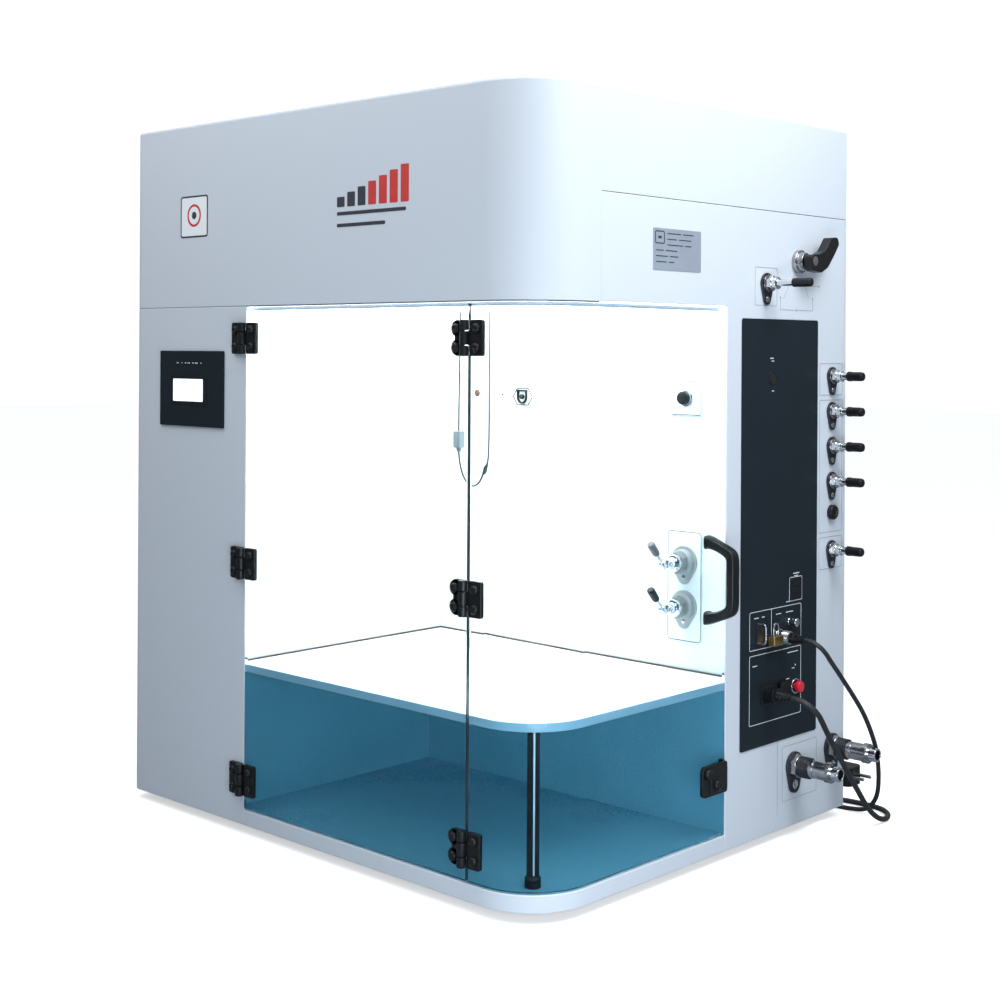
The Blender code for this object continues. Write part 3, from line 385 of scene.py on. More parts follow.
def circle(centre, radius, steps=32, start=0.0, end=360.0):
    """Points on a circle or, with angles, on an arc with both its ends."""
    whole = end - start >= 360.0
    angle = np.radians(np.linspace(start, end, steps, endpoint=not whole))
    return np.column_stack([centre[0] + radius * np.cos(angle), centre[1] + radius * np.sin(angle)])


def prism(plane, outline, low, high):
    """An outline on one of the planes, swept from low to high out of it."""
    outline = np.asarray(outline, float)
    return loft([plane(outline, low), plane(outline, high)])


def line_frame(plane, outline_of, width, low, high):
    """A thin raised line along a closed outline, given as a function of how far it is stepped in."""
    outer, inner = np.asarray(outline_of(0.0)), np.asarray(outline_of(width))
    return loft([plane(outer, low), plane(outer, high), plane(inner, high), plane(inner, low)], around=True)


def turned(profile, start, direction, sides=36, around=False):
    """A profile of (distance, radius) turned about the line from start along direction. A profile that
    goes around makes a ring."""
    along = Vector(direction).normalized()
    side = Vector((0, 0, 1)) - along * along.z if abs(along.z) < 0.9 else along.orthogonal()
    side.normalize()
    other = along.cross(side)
    angle = np.linspace(0, math.tau, sides, endpoint=False)
    spokes = np.cos(angle)[:, None] * np.array(side) + np.sin(angle)[:, None] * np.array(other)
    distance, radius = np.array(profile, float).T
    rings = np.array(start) + distance[:, None, None] * np.array(along) + radius[:, None, None] * spokes
    return loft(rings, around)


def piece(name, shells, body="root", replaces=(), bevel=0.0, segments=2, sharp=34.0):
    """One object from closed shells, each (points, faces) with its finish, on a body.
    Edges sharper than the angle are rounded by bevel, and normals weigh the faces by their area."""
    whole = bmesh.new()
    finishes = []
    for (points, faces), finish in shells:
        if finish not in finishes:
            finishes.append(finish)
        part = bpy.data.meshes.new(name)
        part.from_pydata(points.tolist(), [], faces)
        part.polygons.foreach_set("material_index", [finishes.index(finish)] * len(faces))
        cleaned = bmesh.new()
        cleaned.from_mesh(part)
        bmesh.ops.remove_doubles(cleaned, verts=cleaned.verts, dist=1e-6)
        bmesh.ops.recalc_face_normals(cleaned, faces=cleaned.faces)
        cleaned.to_mesh(part)
        cleaned.free()
        whole.from_mesh(part)
        bpy.data.meshes.remove(part)
    mesh = bpy.data.meshes.new(name)
    whole.to_mesh(mesh)
    whole.free()
    mesh.shade_smooth()
    mesh.set_sharp_from_angle(angle=math.radians(sharp))
    for finish in finishes:
        mesh.materials.append(finish)
    made = bpy.data.objects.new(name, mesh)
    bpy.context.scene.collection.objects.link(made)
    if bevel:
        rounding = made.modifiers.new("rounding", "BEVEL")
        rounding.width = bevel
        rounding.segments = segments
        rounding.limit_method = "ANGLE"
        rounding.angle_limit = math.radians(sharp)
    made.modifiers.new("shading", "WEIGHTED_NORMAL").keep_sharp = True
    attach(made, body)
    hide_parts(*replaces)
    return made


OUTWARD, FORWARD, BACKWARD, UPWARD = (1, 0, 0), (0, -1, 0), (0, 1, 0), (0, 0, 1)

plastic = surface("moulded_black", (0.004, 0.005, 0.006), (0.010, 0.011, 0.012), (0.30, 0.44), 40.0, 1400.0,
                  0.00008, Specular_IOR_Level=0.28)
steel = surface(
    "machined_steel", (0.20, 0.20, 0.21), (0.58, 0.58, 0.59), (0.12, 0.34), 90.0, 260.0, 0.00008,
    stretch=(6.0, 1.0, 1.0), Metallic=1.0)

plug_body = rounded(rectangle((0.418, 0.169), (0.442, 0.185)), (0.004, 0.004, 0.0035, 0.0035))
relief = [(0.0150, 0.0074), (0.0170, 0.0074)]
for number in range(5):
    ring = 0.0176 + 0.0036 * number
    bulge = 0.0068 - 0.0006 * number
    relief += [(ring, bulge - 0.0010), (ring + 0.0009, bulge - 0.0010), (ring + 0.0010, bulge),
               (ring + 0.0028, bulge)]
relief += [(0.0358, 0.0040)]
mains_coupler = piece("mains_coupler", [
    (prism(on_side, plug_body, 0.0031, 0.0168), plastic),
    (turned(relief, at(0, 0.430, 0.177), OUTWARD), plastic),
], replaces=["mains_plug"], bevel=0.0006, sharp=50.0)

across, back = 0.129, 0.748
low = -0.0117
plug_outline = rounded(rectangle((across - 0.068, back - 0.018), (across - 0.030, back + 0.018)), 0.009, 6)
shells = [(prism(in_plan, plug_outline, low, low + 0.026), plastic)]
grip = [(0, 0.0082), (0.008, 0.0082)]
for number in range(5):
    ring = 0.0090 + 0.0042 * number
    bulge = 0.0078 - 0.0007 * number
    grip += [(ring, bulge - 0.0012), (ring + 0.0011, bulge - 0.0012), (ring + 0.0012, bulge),
             (ring + 0.0032, bulge)]
grip += [(0.0300, 0.0042)]
shells.append((turned(grip, at(across - 0.031, back, low + 0.013), (-1, 0, 0)), plastic))
for offset in (-0.0095, 0.0095):
    pin = [(0, 0.0024), (0.0185, 0.0024), (0.0200, 0.0012)]
    shells.append((turned(pin, at(across - 0.067, back + offset, low + 0.013), OUTWARD, sides=20), steel))
two_pin_plug = piece("two_pin_plug", shells, replaces=["wall_plug"], bevel=0.0012,
                     sharp=50.0)

knurl = []
for number in range(12):
    knurl += [(0.0085 + 0.0008 * number, 0.0085), (0.0089 + 0.0008 * number, 0.0081)]
place = at(0, 0.455, 0.246)
screw_plug = piece("screw_plug", [
    (turned([(0.0025, 0.0072), (0.0030, 0.0078), (0.0078, 0.0078), (0.0082, 0.0072), *knurl,
             (0.0184, 0.0072)], place, OUTWARD), steel),
    (turned([(0.0180, 0.0066), (0.0240, 0.0064), (0.0246, 0.0058), (0.0300, 0.0056), (0.0306, 0.0048),
             (0.0378, 0.0038)], place, OUTWARD), plastic),
], replaces=["signal_plug"])

start = at(0.268, 0.7305, -0.0022)
end_plug = piece("screw_end_plug", [
    (turned([(0.0004, 0.0038), (0.013, 0.0060), (0.0142, 0.0062), (0.0145, 0.0090), (0.0155, 0.0092),
             (0.0292, 0.0092), (0.0300, 0.0088), (0.0304, 0.0071), (0.0390, 0.0071), (0.0400, 0.0064)],
            start, OUTWARD), steel),
], replaces=["signal_end_plug"])

plug_middle = 0.492
shells = [(turned([(-0.014, 0.0013), (-0.014, 0.0030), (-0.009, 0.0036), (-0.009, 0.0013)],
                  at(0.2757, SENSOR_BACK, plug_middle), UPWARD, around=True), pale_moulding)]
block = rounded(rectangle((0.2757 - 0.0056, SENSOR_BACK - 0.0056), (0.2757 + 0.0056, SENSOR_BACK + 0.0056)),
                0.0016)
bore = circle((0.2757, SENSOR_BACK), 0.0014, len(block), 45.0 + 180.0, 45.0 + 540.0)
levels = (plug_middle - 0.009, plug_middle + 0.012)
shells.append((loft([in_plan(bore, levels[0]), in_plan(block, levels[0]), in_plan(block, levels[1]),
                     in_plan(bore, levels[1])], around=True), pale_moulding))
in_line_plug = piece("in_line_plug", shells, replaces=["sensor_plug"], bevel=0.0007)


# ---- Cabinet -----------------------------------------------------------------------------------
# Folded sheet steel in a cool light grey powder coat: the deep hood, the left side and column in
# one sheet, the side and rear panels and the low sill under the doors. Seams are narrow joints
# between folded edges; along the hood's lower seam a thin dark strip is painted shadow in the joint.

WIDTH, DEPTH, HEIGHT = 0.746, 0.612, 0.900
SKIN, GAP = 0.003, 0.0003
CORNER_RADIUS, EDGE_RADIUS = 0.080, 0.012
HOOD_SEAM, STEP_BACK, STEP_UP = 0.659, 0.1015, 0.781
COLUMN_EDGE, JAMB_BACK = 0.500, 0.341

powder = surface(
    "powder_coat", (0.560, 0.610, 0.670), (0.590, 0.640, 0.700), (0.34, 0.46), 3.0, 1100.0, 0.00006,
    Specular_IOR_Level=0.45)
# Black rubber for the feet, also used for the seam's strip of painted shadow.
rubber_and_seam_shadow = surface("foot_rubber", (0.012, 0.012, 0.012), (0.025, 0.025, 0.026), (0.6, 0.8), 60.0, 700.0,
                 0.0002)


def wide_corner(inset, steps=28):
    """The wide front right corner as (across, back), from the front face to the side."""
    return circle((CORNER_RADIUS, CORNER_RADIUS), CORNER_RADIUS - inset, steps + 1, 270.0, 180.0)


def small_corner(inset, steps=6):
    """The small front left corner as (across, back), from the side to the front face."""
    return circle((WIDTH - EDGE_RADIUS, EDGE_RADIUS), EDGE_RADIUS - inset, steps + 1, 0.0, -90.0)


def hood_ring(inset, low, up=None):
    """The hood's outline stepped in by inset, at one height or along its stepped lower edge, which
    rises over the side and rear panels; low is how far above that edge it runs."""
    rear = DEPTH - inset
    panel_end = STEP_BACK + 0.0002
    ends = [(inset, panel_end), (inset, rear), (WIDTH - inset, rear), (WIDTH - inset, rear - 0.0003)]
    starts = [(WIDTH - inset, rear - SKIN)]
    outline = np.vstack([ends, starts, small_corner(inset), wide_corner(inset), [(inset, STEP_BACK)]])
    edge = np.where(np.arange(len(outline)) < len(ends), STEP_UP, HOOD_SEAM) + low
    return in_plan(outline, edge if up is None else up)


TOP_RADIUS = 0.004
rings = [hood_ring(SKIN, 0, HEIGHT - SKIN), hood_ring(SKIN, 0), hood_ring(0.0010, 0),
         hood_ring(0.0003, 0.0004), hood_ring(0, 0.0012)]
for bend in np.radians(np.linspace(0, 90, 6)):
    rings.append(hood_ring(TOP_RADIUS * (1 - math.cos(bend)), 0,
                           HEIGHT - TOP_RADIUS * (1 - math.sin(bend))))
piece("hood", [(loft(rings), powder)], replaces=["hood_cover"])

rear = DEPTH - SKIN - GAP
cover = np.vstack([[(WIDTH, rear)], small_corner(0), [(COLUMN_EDGE, 0), (COLUMN_EDGE, SKIN)],
                   small_corner(SKIN)[::-1], [(WIDTH - SKIN, rear)]])
piece("column_sheet", [(prism(in_plan, cover, 0, HOOD_SEAM - GAP), powder)],
      replaces=["left_cover"], bevel=0.0008)

RIM_TOP = 0.020
rim = np.vstack([[(COLUMN_EDGE - GAP, 0)], wide_corner(0), [(0, JAMB_BACK - GAP), (SKIN, JAMB_BACK - GAP)],
                 wide_corner(SKIN)[::-1], [(COLUMN_EDGE - GAP, SKIN)]])
piece("sill", [(prism(in_plan, rim, 0, RIM_TOP), powder)], replaces=["front_rim"],
      bevel=0.0010)

side = [(JAMB_BACK, 0), (rear, 0), (rear, STEP_UP - GAP), (STEP_BACK + GAP, STEP_UP - GAP),
        (STEP_BACK + GAP, HOOD_SEAM + GAP), (JAMB_BACK, HOOD_SEAM + GAP)]
piece("side_sheet", [(prism(on_side, side, -SKIN, 0), powder)],
      replaces=["side_panel"], bevel=0.0009)


def finish_as_built(finish, *nodes):
    """Gives CAD nodes that are shown as they are one finish in place of their own."""
    for node in nodes:
        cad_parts[node].data.materials.clear()
        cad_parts[node].data.materials.append(finish)


finish_as_built(powder, "base_tray", "rear_panel")


def hood_edge(inset):
    """The line of the hood's lower edge (across, back), from the left rear round to the side step."""
    return np.vstack([[(WIDTH - inset, DEPTH - 0.004)], small_corner(inset), wide_corner(inset),
                      [(inset, STEP_BACK - 0.001)]])


# A thin dark strip sunk along the hood's lower edge and the side step is painted shadow in the seam.
groove = np.vstack([hood_edge(0.0007), hood_edge(0.0024)[::-1]])
step_groove = [(STEP_BACK - 0.0005, HOOD_SEAM), (STEP_BACK + 0.0007, HOOD_SEAM),
               (STEP_BACK + 0.0007, STEP_UP - 0.0007),
               (DEPTH - 0.004, STEP_UP - 0.0007), (DEPTH - 0.004, STEP_UP + 0.0005),
               (STEP_BACK - 0.0005, STEP_UP + 0.0005)]
piece("seam_shadow_strip", [(prism(in_plan, groove, HOOD_SEAM - 0.0009, HOOD_SEAM + 0.0006), rubber_and_seam_shadow),
                      (prism(on_side, step_groove, -0.0024, -0.0005), rubber_and_seam_shadow)])

foot_places = ((0.085, 0.085), (WIDTH - 0.07, 0.07), (0.07, DEPTH - 0.07), (WIDTH - 0.07, DEPTH - 0.07))
for number, (across, back) in enumerate(foot_places, 1):
    profile = [(0, 0.0130), (0.0008, 0.0150), (0.0025, 0.0160), (0.0110, 0.0176), (0.0120, 0.0180),
               (0.0262, 0.0180)]
    piece(f"rubber_foot_{number}", [(turned(profile, at(across, back, -0.012), UPWARD), rubber_and_seam_shadow)],
          replaces=[f"foot_{number}"])


# ---- Chamber -----------------------------------------------------------------------------------
# A white enamelled lining; an opal ceiling with light bars and a satin trim along its front; a white
# laminate shelf, rounded in front, whose pale blue edge band is painted shade, on a dark anodised
# corner post with a satin strip that is a painted highlight; a thin dark brown bead along the walls
# that is painted shadow in the shelf's joints; and a bay below lined in thin sea-green sheet that is
# painted shade, standing for its white walls and floor in shade behind the door.

CHAMBER_LEFT, CHAMBER_BACK, CEILING_UNDER = 0.522, 0.372, 0.6593
SHELF_TOP, SHELF_THICKNESS, SHELF_INSET = 0.203, 0.010, 0.008

enamel = surface("white_enamel", (0.86, 0.88, 0.89), (0.92, 0.94, 0.95), (0.30, 0.42), 4.0, 900.0, 0.00004)
opal = surface("opal_diffuser", (0.90, 0.93, 0.95), (0.95, 0.97, 0.98), (0.45, 0.55), 5.0, 700.0, 0.00004,
               Emission_Color=(1.0, 0.90, 0.85, 1.0), Emission_Strength=7.5)
laminate = surface("shelf_laminate", (0.86, 0.88, 0.90), (0.93, 0.94, 0.95), (0.25, 0.40), 6.0, 500.0,
                   0.00004)
post_metal = surface(
    "anodised_post", (0.003, 0.005, 0.007), (0.007, 0.011, 0.014), (0.12, 0.20), 50.0, 400.0, 0.00003,
    stretch=(1.0, 1.0, 0.2), Specular_IOR_Level=0.3)
# Satin metal for the ceiling trim and rating plate, also used for the post's strip, which is a painted
# highlight.
satin_and_post_highlight = surface("satin_plate_and_post_highlight", (0.40, 0.46, 0.55), (0.52, 0.58, 0.68), (0.30, 0.45), 30.0, 500.0, 0.00003,
                stretch=(1.0, 0.2, 6.0), Metallic=0.55)
# Dark brown for the bead that is painted shadow along the shelf's joints with the walls.
joint_shadow_paint = surface("painted_joint_shadow", (0.045, 0.018, 0.010), (0.080, 0.035, 0.022), (0.35, 0.5), 60.0, 500.0,
                   0.00008)
# The shelf's edge band is painted shade: pale blue standing for the white edge in shade behind the door.
edge_shade_paint = surface("shelf_edge_painted_shade", (0.38, 0.58, 0.72), (0.45, 0.65, 0.78), (0.25, 0.4), 12.0, 700.0,
                    0.00003)
# Painted shade: the bay's sea-green stands for its white walls and floor in shade behind the door.
bay_shade_paint = surface(
    "bay_painted_shade", (0.18, 0.46, 0.60), (0.22, 0.52, 0.66), (0.22, 0.34), 3.0, 700.0, 0.00003)

finish_as_built(enamel, "chamber_left_wall", "chamber_back_wall")
finish_as_built(opal, "chamber_ceiling")


def shelf_outline(inset):
    """The shelf's outline (across, back), its exposed front and right edges stepped in."""
    walls = [(SHELF_INSET + inset, CHAMBER_BACK - GAP), (CHAMBER_LEFT - GAP, CHAMBER_BACK - GAP),
             (CHAMBER_LEFT - GAP, SHELF_INSET + inset)]
    return np.vstack([walls, wide_corner(SHELF_INSET + inset)])


BAND = 0.0010
edge = shelf_outline(0)
band = np.vstack([edge[2:], edge[:1], shelf_outline(BAND)[:1], shelf_outline(BAND)[2:][::-1]])
piece("shelf_board", [
    (prism(in_plan, shelf_outline(BAND - 0.0001), SHELF_TOP - SHELF_THICKNESS, SHELF_TOP), laminate),
    (prism(in_plan, band, SHELF_TOP - SHELF_THICKNESS + 0.0002, SHELF_TOP - 0.0002), edge_shade_paint),
], replaces=["work_shelf"], bevel=0.0003)

# A thin dark brown bead along the shelf's joints with the back and left walls: painted shadow in those
# joints.
bead = [at(0.012, CHAMBER_BACK - 0.0014, SHELF_TOP + 0.0008),
        at(CHAMBER_LEFT - 0.0017, CHAMBER_BACK - 0.0014, SHELF_TOP + 0.0008),
        at(CHAMBER_LEFT - 0.0017, 0.014, SHELF_TOP + 0.0008)]
shells = [(turned([(0, 0.0013), ((Vector(end) - Vector(start)).length, 0.0013)], start,
                  Vector(end) - Vector(start), sides=10), joint_shadow_paint) for start, end in zip(bead, bead[1:])]
piece("shelf_joint_shadow", shells)

LOWER_BACK, FLOOR_TOP, SHELF_UNDER = 0.348, 0.018, SHELF_TOP - SHELF_THICKNESS
# Thin sea-green sheets on the bay's floor, back and left wall: painted shade of the bay behind the door.
ground = np.vstack([[(SHELF_INSET, LOWER_BACK - 0.0008), (CHAMBER_LEFT - 0.0012, LOWER_BACK - 0.0008),
                     (CHAMBER_LEFT - 0.0012, SHELF_INSET)], wide_corner(SHELF_INSET)])
shells = [(prism(in_plan, ground, FLOOR_TOP + 0.0002, FLOOR_TOP + 0.0008), bay_shade_paint)]
rear_sheet = rectangle((0.0105, LOWER_BACK - 0.0008), (CHAMBER_LEFT - 0.0012, LOWER_BACK - 0.0002))
shells.append((prism(in_plan, rear_sheet, FLOOR_TOP + 0.0006, SHELF_UNDER - 0.0006), bay_shade_paint))
left_sheet = rectangle((CHAMBER_LEFT - 0.0009, 0.0090), (CHAMBER_LEFT - 0.0003, LOWER_BACK - 0.0012))
shells.append((prism(in_plan, left_sheet, FLOOR_TOP + 0.0006, SHELF_UNDER - 0.0006), bay_shade_paint))
piece("bay_shade_sheets", shells)

profile = [(0, 0.0090), (0.0105, 0.0090), (0.0118, 0.0080), (0.0125, 0.0070), (0.1730, 0.0070),
           (0.1738, 0.0062)]
post = (turned(profile, at(0.046, 0.046, 0.0189), UPWARD), post_metal)
# A satin strip along the post's front right side is a painted highlight: it stands for the bright line the
# post reflects.
facing = np.radians(np.linspace(213.0, 228.0, 5))
strip = np.vstack([np.column_stack([0.046 + reach * np.cos(facing), 0.046 + reach * np.sin(facing)])[::turn]
                   for reach, turn in ((0.0072, 1), (0.0066, -1))])
bright = (prism(in_plan, strip, 0.0330, 0.1915), satin_and_post_highlight)
piece("corner_post", [post, bright], replaces=["shelf_post"])

strip_glow = surface("strip_lens", (0.80, 0.90, 1.0), (0.9, 0.95, 1.0), (0.3, 0.4), 30.0, 400.0, 0.00004,
                     Emission_Color=(0.86, 0.94, 1.0, 1.0), Emission_Strength=6.0)
shells = []
STRIP_UP = (CEILING_UNDER - 0.0095, CEILING_UNDER - 0.0082)
for number in range(15):
    start = 0.103 + 0.026 * number
    outline = rounded(rectangle((start, 0.016), (start + 0.022, 0.026)), 0.002, 3)
    shells.append((prism(in_plan, outline, *STRIP_UP), strip_glow))
for number in range(9):
    start = 0.103 + 0.026 * number
    outline = rounded(rectangle((0.016, start), (0.026, start + 0.022)), 0.002, 3)
    shells.append((prism(in_plan, outline, *STRIP_UP), strip_glow))
piece("light_strips", shells)


def front_edge(inset):
    """A line (across, back) from the left wall along the front and round the wide corner to the jamb."""
    ends = [(CHAMBER_LEFT - 0.004, inset)], [(inset, JAMB_BACK - 0.004)]
    return np.vstack([ends[0], wide_corner(inset), ends[1]])


trim = np.vstack([front_edge(0.0100), front_edge(0.0115)[::-1]])
piece("ceiling_trim", [(prism(in_plan, trim, CEILING_UNDER - 0.0062, CEILING_UNDER - 0.0003), satin_and_post_highlight)],
      bevel=0.0003)


# ---- Doors -------------------------------------------------------------------------------------
# Two leaves of 6 mm clear acrylic with a sea-green cast: one hangs on the column, the other folds on
# it and wraps the wide corner, heat-formed. Edges are flame polished, and a thin dark seal closes
# the joint between the leaves.

DOOR_THICKNESS, DOOR_LOW, DOOR_HIGH = 0.006, 0.022, 0.657
FOLD_ACROSS, DOOR_B_END = 0.104, 0.339

acrylic, shader, coords = start_finish(
    "tinted_acrylic", Base_Color=(0.67, 0.83, 0.88, 1.0), Transmission_Weight=1.0, IOR=1.15,
    Specular_IOR_Level=0.9)
wipe = noise(coords, 7.0, 5.0)
feed(shader, "Roughness", wipe * wipe * 0.02)

leaf = rectangle((FOLD_ACROSS + 0.001, 0), (COLUMN_EDGE - 0.0015, DOOR_THICKNESS))
piece("flat_leaf", [(prism(in_plan, leaf, DOOR_LOW, DOOR_HIGH), acrylic)], "door_a",
      ["door_a"], bevel=0.0005)
start = FOLD_ACROSS - 0.001
leaf = np.vstack([[(start, 0)], wide_corner(0), [(0, DOOR_B_END), (DOOR_THICKNESS, DOOR_B_END)],
                  wide_corner(DOOR_THICKNESS)[::-1], [(start, DOOR_THICKNESS)]])
piece("formed_leaf", [(prism(in_plan, leaf, DOOR_LOW, DOOR_HIGH), acrylic)], "door_b",
      ["door_b"], bevel=0.0005)
seal = rectangle((FOLD_ACROSS - 0.0004, 0.0001), (FOLD_ACROSS + 0.0008, DOOR_THICKNESS - 0.0001))
piece("fold_seal", [(prism(in_plan, seal, DOOR_LOW + 0.001, DOOR_HIGH - 0.001), plastic)], "door_a",
      bevel=0.0003)


# ---- Hinges, handle and catch ------------------------------------------------------------------
# Moulded black hinges with round screw caps, two to a leaf; a black bridge handle with flared feet
# on the door's side leg; and a black catch with two round caps by the jamb.

PIN_OUT, KNUCKLE_RADIUS, HINGE_HEIGHT = 0.0065, 0.0055, 0.040
HINGE_LEVELS = {"top": 0.618, "middle": 0.333, "bottom": 0.059}
OUTER_LOBES, INNER_LOBE = ((-0.5, -0.21), (0.21, 0.5)), ((-0.19, 0.19),)


def cap_profile(radius, height):
    """A screw cap: a short drum that domes over to a small sunk centre."""
    return [(0, radius), (height * 0.45, radius), (height * 0.75, radius * 0.93),
            (height * 0.95, radius * 0.72),
            (height, radius * 0.45), (height * 0.9, radius * 0.36), (height * 0.82, radius * 0.1)]


def hinge_leaf(node, pin_across, level, side, lobes, body, reach=0.0260, eared=False):
    """A hinge leaf on one side of its pin (side +1 is to the left): plate, knuckles and two caps. An
    eared plate is cut back to two round ears, one under each cap."""
    low, high = level - HINGE_HEIGHT / 2, level + HINGE_HEIGHT / 2
    ends = sorted((pin_across + side * 0.0062, pin_across + side * reach))
    if eared:
        ends[1] = ends[0] + 0.0105
    plate = rounded(rectangle((ends[0], low), (ends[1], high)), 0.0025, 4)
    shells = [(prism(on_front, plate, GAP, 0.0053), plastic)]
    if eared:
        for height in (level - 0.0105, level + 0.0105):
            ear = circle((pin_across + side * (reach - 0.0090), height), 0.0090, 40)
            shells.append((prism(on_front, ear, GAP, 0.0053), plastic))
    for start, end in lobes:
        foot, head = level + start * HINGE_HEIGHT, level + end * HINGE_HEIGHT
        web = sorted((pin_across + side * 0.0008, pin_across + side * 0.0080))
        shells.append((prism(on_front, rectangle((web[0], foot), (web[1], head)), GAP, 0.0050), plastic))
        barrel = [(0, KNUCKLE_RADIUS - 0.0006), (0.0006, KNUCKLE_RADIUS),
                  (head - foot - 0.0006, KNUCKLE_RADIUS), (head - foot, KNUCKLE_RADIUS - 0.0006)]
        shells.append((turned(barrel, at(pin_across, -PIN_OUT, foot), UPWARD, sides=28), plastic))
    for height in (level - 0.0105, level + 0.0105):
        start = at(pin_across + side * (reach - 0.0090), -0.0050, height)
        shells.append((turned(cap_profile(0.0055, 0.0044), start, FORWARD, sides=28), plastic))
    piece(f"{node}_moulding", shells, body, [node], bevel=0.0006, sharp=50.0)


for place, level in HINGE_LEVELS.items():
    hinge_leaf(f"column_hinge_{place}_fixed", COLUMN_EDGE, level, 1, OUTER_LOBES, "root", 0.0230)
    hinge_leaf(f"column_hinge_{place}_moving", COLUMN_EDGE, level, -1, INNER_LOBE, "door_a")
    hinge_leaf(f"fold_hinge_{place}_a", FOLD_ACROSS, level, 1, OUTER_LOBES, "door_a", 0.0225, True)
    hinge_leaf(f"fold_hinge_{place}_b", FOLD_ACROSS, level, -1, INNER_LOBE, "door_b")


def carried(path, across_axis, widths, depths, sides=20):
    """A rounded section carried along a flat path: at each point a superellipse of power 4, width by
    depth, stands square to the path, its width along the given axis."""
    path = np.asarray(path, float)
    along = np.gradient(path, axis=0)
    along /= np.linalg.norm(along, axis=1, keepdims=True)
    wide = np.broadcast_to(np.array(across_axis, float), path.shape)
    deep = np.cross(along, wide)
    angle = np.linspace(0, math.tau, sides, endpoint=False)
    u = np.sign(np.cos(angle)) * np.abs(np.cos(angle)) ** 0.5
    v = np.sign(np.sin(angle)) * np.abs(np.sin(angle)) ** 0.5
    rings = path[:, None] + wide[:, None] * (u * np.asarray(widths)[:, None] / 2)[..., None]
    return loft(rings + deep[:, None] * (v * np.asarray(depths)[:, None] / 2)[..., None])


HANDLE_BACK, HANDLE_LOW, HANDLE_HIGH = 0.302, 0.279, 0.386
arm = [(-0.0004, 0.0085), (-0.0060, 0.0088), (-0.0180, 0.0125), (-0.0275, 0.0165), (-0.0338, 0.0205),
       (-0.0362, 0.0255), (-0.0368, 0.0330)]
upper = [(across, HANDLE_BACK, HANDLE_HIGH - inward) for across, inward in arm]
lower = [(across, HANDLE_BACK, HANDLE_LOW + inward) for across, inward in reversed(arm)]
stations = at(*np.array([*upper, (-0.0368, HANDLE_BACK, (HANDLE_HIGH + HANDLE_LOW) / 2), *lower]).T)
path = smooth_route(stations, 0.0018)
flare = np.clip(1 - (path[:, 0] - RIGHT) / 0.020, 0, 1) ** 2
knee = np.exp(-((path[:, 0] - RIGHT - 0.0335) / 0.0040) ** 2) * (path[:, 0] < RIGHT + 0.0360)
piece("bridge_handle", [(carried(path, BACKWARD, 0.0152 + 0.0018 * flare,
                                 0.0118 + 0.0050 * flare + 0.0008 * knee), plastic)],
      "door_b", ["door_handle"])

catch = rounded(rectangle((0.289, 0.0745), (DOOR_B_END, 0.1115)), (0.006, 0.003, 0.003, 0.006), 5)
raised = rounded(rectangle((0.303, 0.0775), (0.337, 0.1085)), 0.003, 4)
shells = [(prism(on_side, catch, GAP, 0.0050), plastic), (prism(on_side, raised, 0.0045, 0.0066), plastic)]
for back, up in ((0.298, 0.1025), (0.316, 0.0865)):
    shells.append((turned(cap_profile(0.0068, 0.0058), at(-0.0048, back, up), OUTWARD, sides=28), plastic))
piece("side_catch", shells, "door_b", ["door_catch"], bevel=0.0008, sharp=50.0)
finish_as_built(plastic, "catch_strike")


# ---- Display -----------------------------------------------------------------------------------
# A flat black display unit on the column: a white backlit window in a thin bezel, with a row of
# small printed marks above it.

panel_black = surface("anodised_black", (0.008, 0.013, 0.018), (0.012, 0.019, 0.026), (0.48, 0.60), 12.0,
                      1500.0, 0.00004, Specular_IOR_Level=0.16)
print_white = surface("white_print", (0.62, 0.66, 0.70), (0.72, 0.76, 0.80), (0.5, 0.6), 60.0, 900.0,
                      0.00002)
backlit = surface("backlit_window", (0.80, 0.86, 0.92), (0.86, 0.90, 0.95), (0.12, 0.2), 40.0, 300.0,
                  0.00002, Emission_Color=(0.88, 0.94, 1.0, 1.0), Emission_Strength=0.75)

unit = rounded(rectangle((0.544, 0.502), (0.683, 0.6015)), 0.0012, 3)
bezel = rounded(rectangle((0.578, 0.5305), (0.656, 0.5690)), 0.0020, 3)
window = rounded(rectangle((0.5865, 0.5350), (0.6520, 0.5645)), 0.0010, 3)
button_strip = rounded(rectangle((0.5800, 0.5350), (0.5845, 0.5645)), 0.0010, 3)
shells = [(prism(on_front, unit, GAP, 0.0030), panel_black),
          (prism(on_front, bezel, 0.0028, 0.0034), plastic),
          (prism(on_front, window, 0.0030, 0.0038), backlit),
          (prism(on_front, button_strip, 0.0030, 0.0037), panel_black)]
for number, width in enumerate((0.004, 0.010, 0.006, 0.009, 0.005, 0.003, 0.007)):
    start = 0.590 + 0.0085 * number
    mark = rectangle((start, 0.5850), (start + width * 0.6, 0.5862))
    shells.append((prism(on_front, mark, 0.0029, 0.0031), print_white))
piece("display_unit", shells, replaces=["display_module"], bevel=0.0003, sharp=50.0)


# ---- Connector panel ---------------------------------------------------------------------------
# A black anodised plate let into the side: printed frames, the mains inlet with its rocker and red
# breaker button, the signal socket, a sunk data port, a round port, small chrome fittings and a
# little brass padlock.

